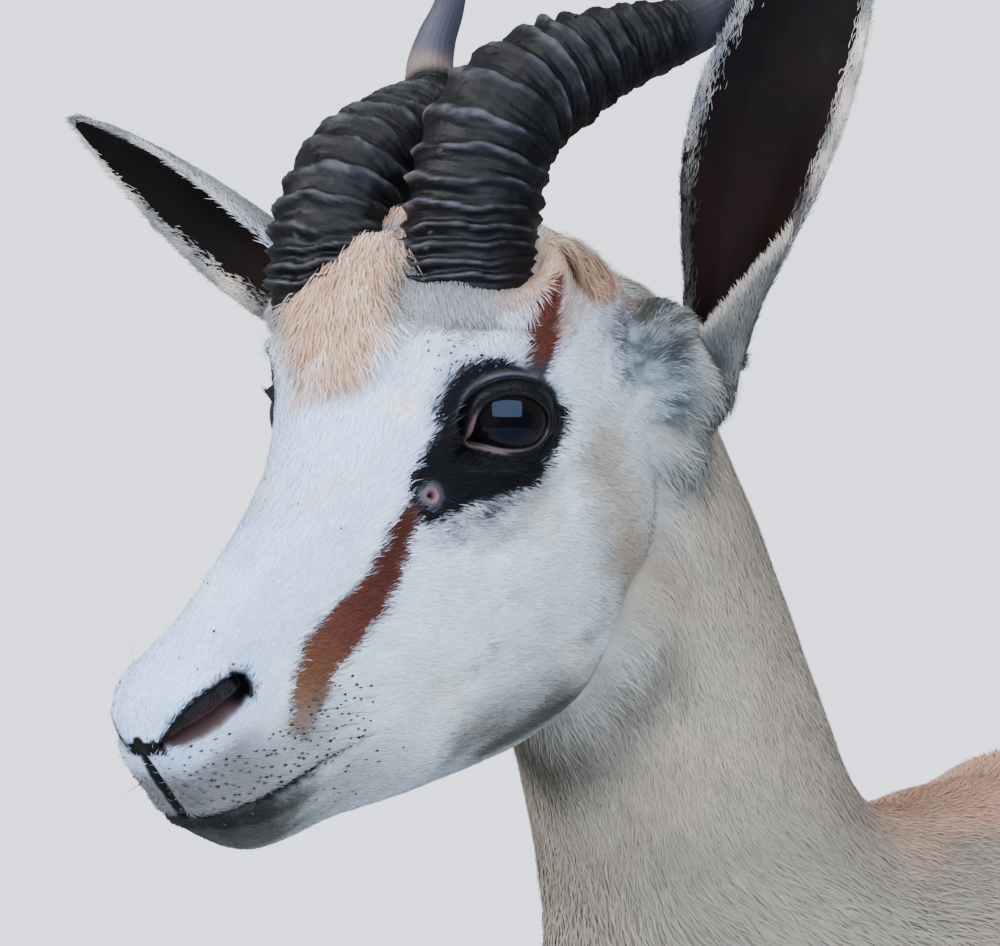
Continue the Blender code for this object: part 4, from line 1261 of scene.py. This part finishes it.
def growCoat():
    skin = Surface(skinPiece.data, skinBefore)
    head = inHead(skin.middle)
    neck = neckShare(head)
    low = smoothStep(120, 70, skin.middle[:, 2] / mm)
    clear = clearOfOthers(skin.middle) * (1 - bareShare(skin.middle))
    regions = {"face": (1 - neck), "neck": neck * (1 - low), "body": low}
    for name, item in hair["pieces"].items():
        count = item["count"]
        for part in range(item["split"]):
            where, outward = skin.spots(count // item["split"], clear * regions[item["where"]] + 1e-12)
            spot = inHead(where)
            number = len(where)
            way = hairFlow(where, outward)
            swirl = clouds(spot, 30, 61)[:, None] * np.cross(outward, way) * 0.25
            way = unit(way + swirl + np.cross(outward, way) * dice.normal(0, 0.16, number)[:, None])
            length = item["length"] * mm * dice.uniform(0.6, 1.15, number)
            width = item["width"] * mm * dice.uniform(0.7, 1.25, number)
            if item["where"] == "face":
                short = 0.55 + 0.45 * smoothStep(10, 70, spot[:, 1])
                length *= short * (0.7 + 0.3 * smoothStep(8, 30, np.abs(np.linalg.norm(spot - [0, 60, 5], axis=1))))
            sample = skin.marked + way * (length * dice.uniform(0.0, 0.6, number))[:, None]
            tone = coatColours(sample + dice.normal(0, 0.0006, (number, 3)))
            tone *= (1 + dice.normal(0, 0.05, number) + 0.07 * clouds(spot, 5, 62))[:, None]
            lift = hair["lift"] * dice.uniform(0.5, 1.3, number)
            blades(f"{name}_{part + 1}", where, outward, way, length, width, tone, lift)
    print("coat hair done")


growCoat()


# forelock, ear fringes and lashes: longer hair in its own meshes

def growForelock():
    skin = Surface(skinPiece.data, skinBefore)
    head = inHead(skin.middle)
    away, _ = alongLine(head, [(-8, 190, 25), (-10, 176, 22), (-4, 165, 19)])
    behind, _ = alongLine(np.abs(head) * [1, 1, 0] + head * [0, 0, 1], [(50, 206, 6), (42, 222, -8)])
    weight = smoothStep(22, 4, away) + 0.6 * smoothStep(14, 5, behind) * (head[:, 1] > 209)
    weight *= clearOfOthers(skin.middle) > 0.1
    where, outward = skin.spots(hair["loose"]["forelock"], weight + 1e-12)
    spot = inHead(where)
    turn = headTurn()
    front = spot[:, 1] < 200
    fan = np.stack([0.045 * (spot[:, 0] + 8), np.where(front, -1.0, 0.9), np.where(front, -0.05, -0.6)], 1) @ turn.T
    number = len(where)
    side = np.cross(outward, fan)
    swerve = 0.22 * clouds(spot, 7, 71) + dice.normal(0, 0.2, number)
    way = unit(laidDown(fan, outward) + unit(side) * swerve[:, None])
    length = mm * np.where(front, dice.uniform(7, 16, number), dice.uniform(6, 12, number))
    width = mm * dice.uniform(0.18, 0.4, number)
    locks = clouds(spot, 6, 72)[:, None]
    pale = np.clip(0.15 + 0.7 * locks, 0, 1)
    tone = rgb["forelock"] * (1 - pale) + rgb["cream"] * pale
    tone = mix(tone, rgb["rust"], np.clip(0.7 * clouds(spot, 4, 73) + 0.2 + 0.25 * ~front, 0, 1))
    edge = smoothStep(9, 19, alongLine(spot, [(-8, 190, 25), (-10, 176, 22), (-4, 165, 19)])[0]) * front
    tone = tone * (1 - 0.9 * edge[:, None]) + coatColours(skin.marked) * 0.9 * edge[:, None]
    tone = tone * np.where(front, 1, 0.95)[:, None]
    tone *= (1 + dice.normal(0, 0.08, number))[:, None]
    lift = 0.22 * dice.uniform(0.5, 1.6, number)
    blades("hair_forelock", where, outward, way, length, width, tone, lift)


def growEarHair():
    for name, piece in earPieces.items():
        shape = ears[name]
        root, tip = Vector(shape["root"]), Vector(shape["tip"])
        axis, opening, across = (np.array(v) for v in frameAt(tip - root, shape["open"]))
        turn = headTurn(False)
        surface = Surface(piece.data)
        local = inUpright(surface.middle)
        share = (local - np.array(root)) @ axis / (tip - root).length
        half = earHalf(share)
        bend = shape["bow"] * 4 * share * (1 - share)
        t = ((local - np.array(root)) @ across - bend) / half
        a, b, c = (surface.points[surface.corners[:, k]] for k in range(3))
        facing = unit(np.cross(b - a, c - a)) @ (turn @ opening)
        outer = smoothStep(0.1, -0.25, facing)
        rim = smoothStep(0.86, 0.97, np.abs(t))
        lower = smoothStep(0.5, 0.9, t * (1 if name == "left" else -1))
        # outer side
        where, outward = surface.spots(hair["loose"]["earBack"], outer + 1e-12)
        finishEar(f"hair_ear_{name}", name, where, outward, axis, across, turn, "outer")
        # inside and fringe
        shaggy = smoothStep(-0.6, 0.6, t) if name == "left" else lower
        inner = (1 - outer) * smoothStep(0.72, 0.93, np.abs(t)) * (0.06 + 0.2 * shaggy)
        where, outward = surface.spots(hair["loose"]["earFringe"], rim * (0.5 + 0.5 * shaggy) + inner + 1e-12)
        finishEar(f"hair_fringe_{name}", name, where, outward, axis, across, turn, "fringe")


def finishEar(title, name, where, outward, axis, across, turn, kind):
    shape = ears[name]
    root, tip = np.array(shape["root"]), np.array(shape["tip"])
    local = inUpright(where)
    share = (local - root) @ axis / np.linalg.norm(tip - root)
    t = (local - root) @ across
    number = len(where)
    lean = np.sign(t)[:, None] * (turn @ across)
    if kind == "outer":
        way = np.tile(turn @ axis, (number, 1)) + lean * 0.15
        length = mm * dice.uniform(4, 7, number)
        width = mm * dice.uniform(0.35, 0.6, number)
        tone = mix(rgb["earBack"], rgb["face"], np.clip(0.15 + 0.2 * clouds(local, 9, 81), 0, 1))
        # darker at the ear's foot: painted shade where the ear meets the head, over the grey hair there
        tone = mix(tone, rgb["earFoot"], 0.9 * smoothStep(0.32, 0.05, share))
        tone = mix(tone, rgb["earFringe"], 0.85 * smoothStep(0.5, 0.3, share) * smoothStep(2, -8, t))
    else:
        way = np.tile(turn @ axis, (number, 1)) + lean * dice.uniform(0.0, 0.6, number)[:, None]
        length = mm * dice.uniform(2, 5.5, number)
        width = mm * dice.uniform(0.16, 0.3, number)
        pale = np.clip(0.35 + 0.7 * clouds(local, 12, 82), 0, 1)
        tone = mix(rgb["earBack"] * 0.8, rgb["cream"], pale)
        tone = mix(tone, rgb["earFringe"], 0.9 * smoothStep(0.52, 0.3, share + dice.normal(0, 0.05, number)))
    way -= outward * np.sum(way * outward, axis=1)[:, None]
    side = np.cross(outward, way)
    way = unit(unit(way) + side * dice.normal(0, 0.2, number)[:, None])
    tone = tone * (1 + dice.normal(0, 0.1, number))[:, None]
    blades(title, where, outward, way, length, width, tone, 0.14 * dice.uniform(0.4, 1.4, number))


def growWhiskers():
    # dark whisker pits with a few stiff hairs on the lips, and pores above the eyes
    skin = Surface(skinPiece.data, skinBefore)
    head = inHead(skin.middle)
    left = folded(head)
    lips, _ = alongLine(left, [(13, 2, -12), (17, 7, -25), (22.6, 22, -29), (24, 36, -34), (26, 50, -38)])
    chinSide, _ = alongLine(left, [(14, 16, -48), (20, 34, -56), (25, 56, -64)])
    brow, _ = alongLine(left, [(31.9, 155.9, 9.4), (39.1, 162.3, 7.5), (43.5, 166.6, 5.4)])
    bridge, _ = alongLine(left, [(12, 20, 12), (14, 60, 6), (16, 100, 4)])
    weight = smoothStep(15, 4, lips) + 0.12 * smoothStep(12, 3, chinSide) + 0.9 * smoothStep(8, 2, brow)
    weight += 0.02 * smoothStep(16, 4, bridge)
    where, outward = skin.spots(hair["loose"]["whiskerPit"], weight * (1 - bareShare(skin.middle)) + 1e-12)
    kept = []
    for i in range(len(where)):
        if all(np.linalg.norm(where[i] - where[k]) > 0.0014 + 0.0018 * (i % 3) / 2 for k in kept):
            kept.append(i)
    where, outward = where[kept], outward[kept]
    way = hairFlow(where, outward)
    number = len(where)
    tone = np.tile(rgb["lipDark"], (number, 1)) * dice.uniform(0.8, 6.0, number)[:, None]
    blades("whisker_pits", where + outward * 0.0008, outward, way, mm * dice.uniform(0.9, 1.9, number),
           mm * dice.uniform(0.5, 1.1, number), tone, np.full(number, 0.1))
    few = np.arange(0, number, 6)
    reach = len(few)
    stiff = unit(way[few] + outward[few] * dice.uniform(0.3, 0.9, reach)[:, None])
    blades("whiskers", where[few], outward[few], stiff, mm * dice.uniform(7, 17, reach), np.full(reach, 0.00016),
           np.tile(rgb["lipDark"], (reach, 1)), np.full(reach, 0.02))


def growLashes():
    roots, facing, ways, lengths = [], [], [], []
    turn = headTurn()
    for side in (1, -1):
        centre, along, up, out = (np.array(v) for v in eyeFrame(side))
        for angle in np.concatenate([dice.uniform(0.05, 2.75, 150), dice.uniform(0.4, 0.7, 22)]):
            reach = float(marginReach(np.array([angle]))[0]) + dice.uniform(0.2, 1.2)
            x, y = reach * math.cos(angle) + eye["middle"][0], reach * math.sin(angle) + eye["middle"][1]
            z = math.sqrt(max((eye["radius"] + 1.4) ** 2 - x * x - y * y, 1))
            roots.append(centre + along * x + up * y + out * z)
            fan = along * math.cos(angle) * 1.1 + up * (0.25 + 0.3 * math.sin(angle)) + out * 0.6
            ways.append(fan + dice.normal(0, 0.12, 3))
            facing.append(up * 0.8 - out * 0.4 + along * 0.1)
            lengths.append(dice.uniform(3.0, 5.5) * (2.6 if angle < 0.7 else 1.0) * (1 if side > 0 else 0.45))
    roots = applied(headMatrix(), np.array(roots))
    ways, facing = unit(np.array(ways)) @ turn.T, unit(np.array(facing)) @ turn.T
    number = len(roots)
    blades("lashes", roots, facing, ways, mm * np.array(lengths), np.full(number, 0.00024),
           np.tile(rgb["black"], (number, 1)), np.full(number, 0.12))


growForelock()
growEarHair()
for name in ("left", "right"):
    makeFlap(name)
growWhiskers()
growLashes()
print("long hair done")


# back board and hanger: CAD nodes with better finishes

def plywoodMaterial():
    # planed softwood ply: pale straw colour, brown growth lines about 4 mm apart, dry and open
    made, tree, shader = newMaterial("planed softwood ply", {"Roughness": 0.72, "Specular IOR Level": 0.3})
    where = addNode(tree, "ShaderNodeTexCoord")
    stretch = addNode(tree, "ShaderNodeMapping", {"Scale": (1.0, 1.0, 0.09)}, {"Vector": where.outputs["Object"]})
    rings = addNode(tree, "ShaderNodeTexWave", {"Scale": 40.0, "Distortion": 7.0, "Detail": 4.0, "Detail Scale": 1.5},
                    {"Vector": stretch.outputs["Vector"]})
    fibre = addNode(tree, "ShaderNodeTexNoise", {"Scale": 600.0, "Detail": 6.0}, {"Vector": stretch.outputs["Vector"]})
    ramp = addNode(tree, "ShaderNodeValToRGB", None, {"Fac": rings.outputs["Fac"]})
    ramp.color_ramp.elements[0].color = colour("#B88D5E")
    ramp.color_ramp.elements[1].color = colour("#D2B083")
    shade = blended(tree, "MULTIPLY", 0.35, ramp.outputs["Color"], fibre.outputs["Color"])
    addBump(tree, shader, 0.3, 0.0004, fibre.outputs["Fac"])
    feed(tree, shader, shade)
    return made


def zincMaterial():
    # zinc-plated pressed steel: grey metal with a cloudy bluish bloom
    made, tree, shader = newMaterial("zinc plated steel", {"Metallic": 1.0})
    where = addNode(tree, "ShaderNodeTexCoord")
    cloud = noise(tree, where, 160.0, 5.0)
    ramp = addNode(tree, "ShaderNodeValToRGB", None, {"Fac": cloud.outputs["Fac"]})
    ramp.color_ramp.elements[0].color = colour("#9BA0A6")
    ramp.color_ramp.elements[1].color = colour("#C9CBCD")
    rough = addNode(tree, "ShaderNodeMapRange", {"To Min": 0.28, "To Max": 0.5}, {"Value": cloud.outputs["Fac"]})
    feed(tree, shader, ramp.outputs["Color"], rough.outputs["Result"])
    return made


def dressNodes():
    wood, zinc = plywoodMaterial(), zincMaterial()
    for name, material in (("back_board", wood), ("hanger_plate", zinc), ("hanger_screw_left", zinc),
                           ("hanger_screw_right", zinc)):
        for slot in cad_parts[name].material_slots:
            slot.material = material


dressNodes()


# studio: pale floor, soft light, camera

studio = {
    "floor": -0.235, "reach": 0.8, "floorTone": "#A5A8AD",
    "sky": "#DDE3F0", "skyStrength": 0.4, "paperStrength": 2.6,
    "azimuth": 48.0, "distance": 1.588, "aim": (0.042, -0.470, 0.150), "aside": 0.1059, "above": 0.0809,
    "sensor": 36, "focalPixels": 5329, "pixels": 1000,
}


def makeStudio():
    made, tree, shader = newMaterial("matt paper floor", {"Roughness": 0.95, "Base Color": colour(studio["floorTone"])})
    bm = bmesh.new()
    bmesh.ops.create_circle(bm, cap_ends=True, segments=96, radius=studio["reach"],
                            matrix=Matrix.Translation((0, -0.2, studio["floor"])))
    floor = linked("studio_floor", meshFrom("studio_floor", bm))
    floor.data.materials.append(made)
    world = bpy.data.worlds.new("studio")
    bpy.context.scene.world = world
    world.use_nodes = True
    tree = world.node_tree
    seen = addNode(tree, "ShaderNodeLightPath")
    strength = addNode(tree, "ShaderNodeMapRange", {"To Min": studio["skyStrength"], "To Max": studio["paperStrength"]},
                       {"Value": seen.outputs["Is Camera Ray"]})
    tree.nodes["Background"].inputs["Color"].default_value = colour(studio["sky"])
    tree.links.new(strength.outputs["Result"], tree.nodes["Background"].inputs["Strength"])
    lamps = {"key": ((-0.62, -2.35, 1.40), (1.6, 1.2), 105), "window": ((2.02, -1.46, 0.63), (3.4, 1.7), 135),
             "top": ((0.3, -0.5, 2.4), (1.4, 1.4), 42)}
    for name, (place, size, power) in lamps.items():
        light = bpy.data.lights.new(name, "AREA")
        light.energy = power
        light.color = linear("#DCE8FF" if name == "window" else "#F8FAFF")
        light.shape = "RECTANGLE"
        light.size, light.size_y = size
        lamp = linked(name, light)
        lamp.location = place
        lamp.rotation_euler = (Vector(place) - Vector((0.03, -0.38, 0.2))).to_track_quat("Z", "Y").to_euler()


def makeCamera():
    turn = math.radians(studio["azimuth"])
    right = Vector((math.cos(turn), math.sin(turn), 0))
    back = Vector((math.sin(turn), -math.cos(turn), 0))
    camera = linked("camera", bpy.data.cameras.new("camera"))
    aim = Vector(studio["aim"]) + right * studio["aside"] + Vector((0, 0, studio["above"]))
    camera.location = aim + back * studio["distance"]
    camera.rotation_euler = (math.radians(90), 0, turn)
    camera.data.sensor_width = studio["sensor"]
    camera.data.lens = studio["focalPixels"] * studio["sensor"] / studio["pixels"]
    bpy.context.scene.camera = camera


makeStudio()
makeCamera()
print("studio done")
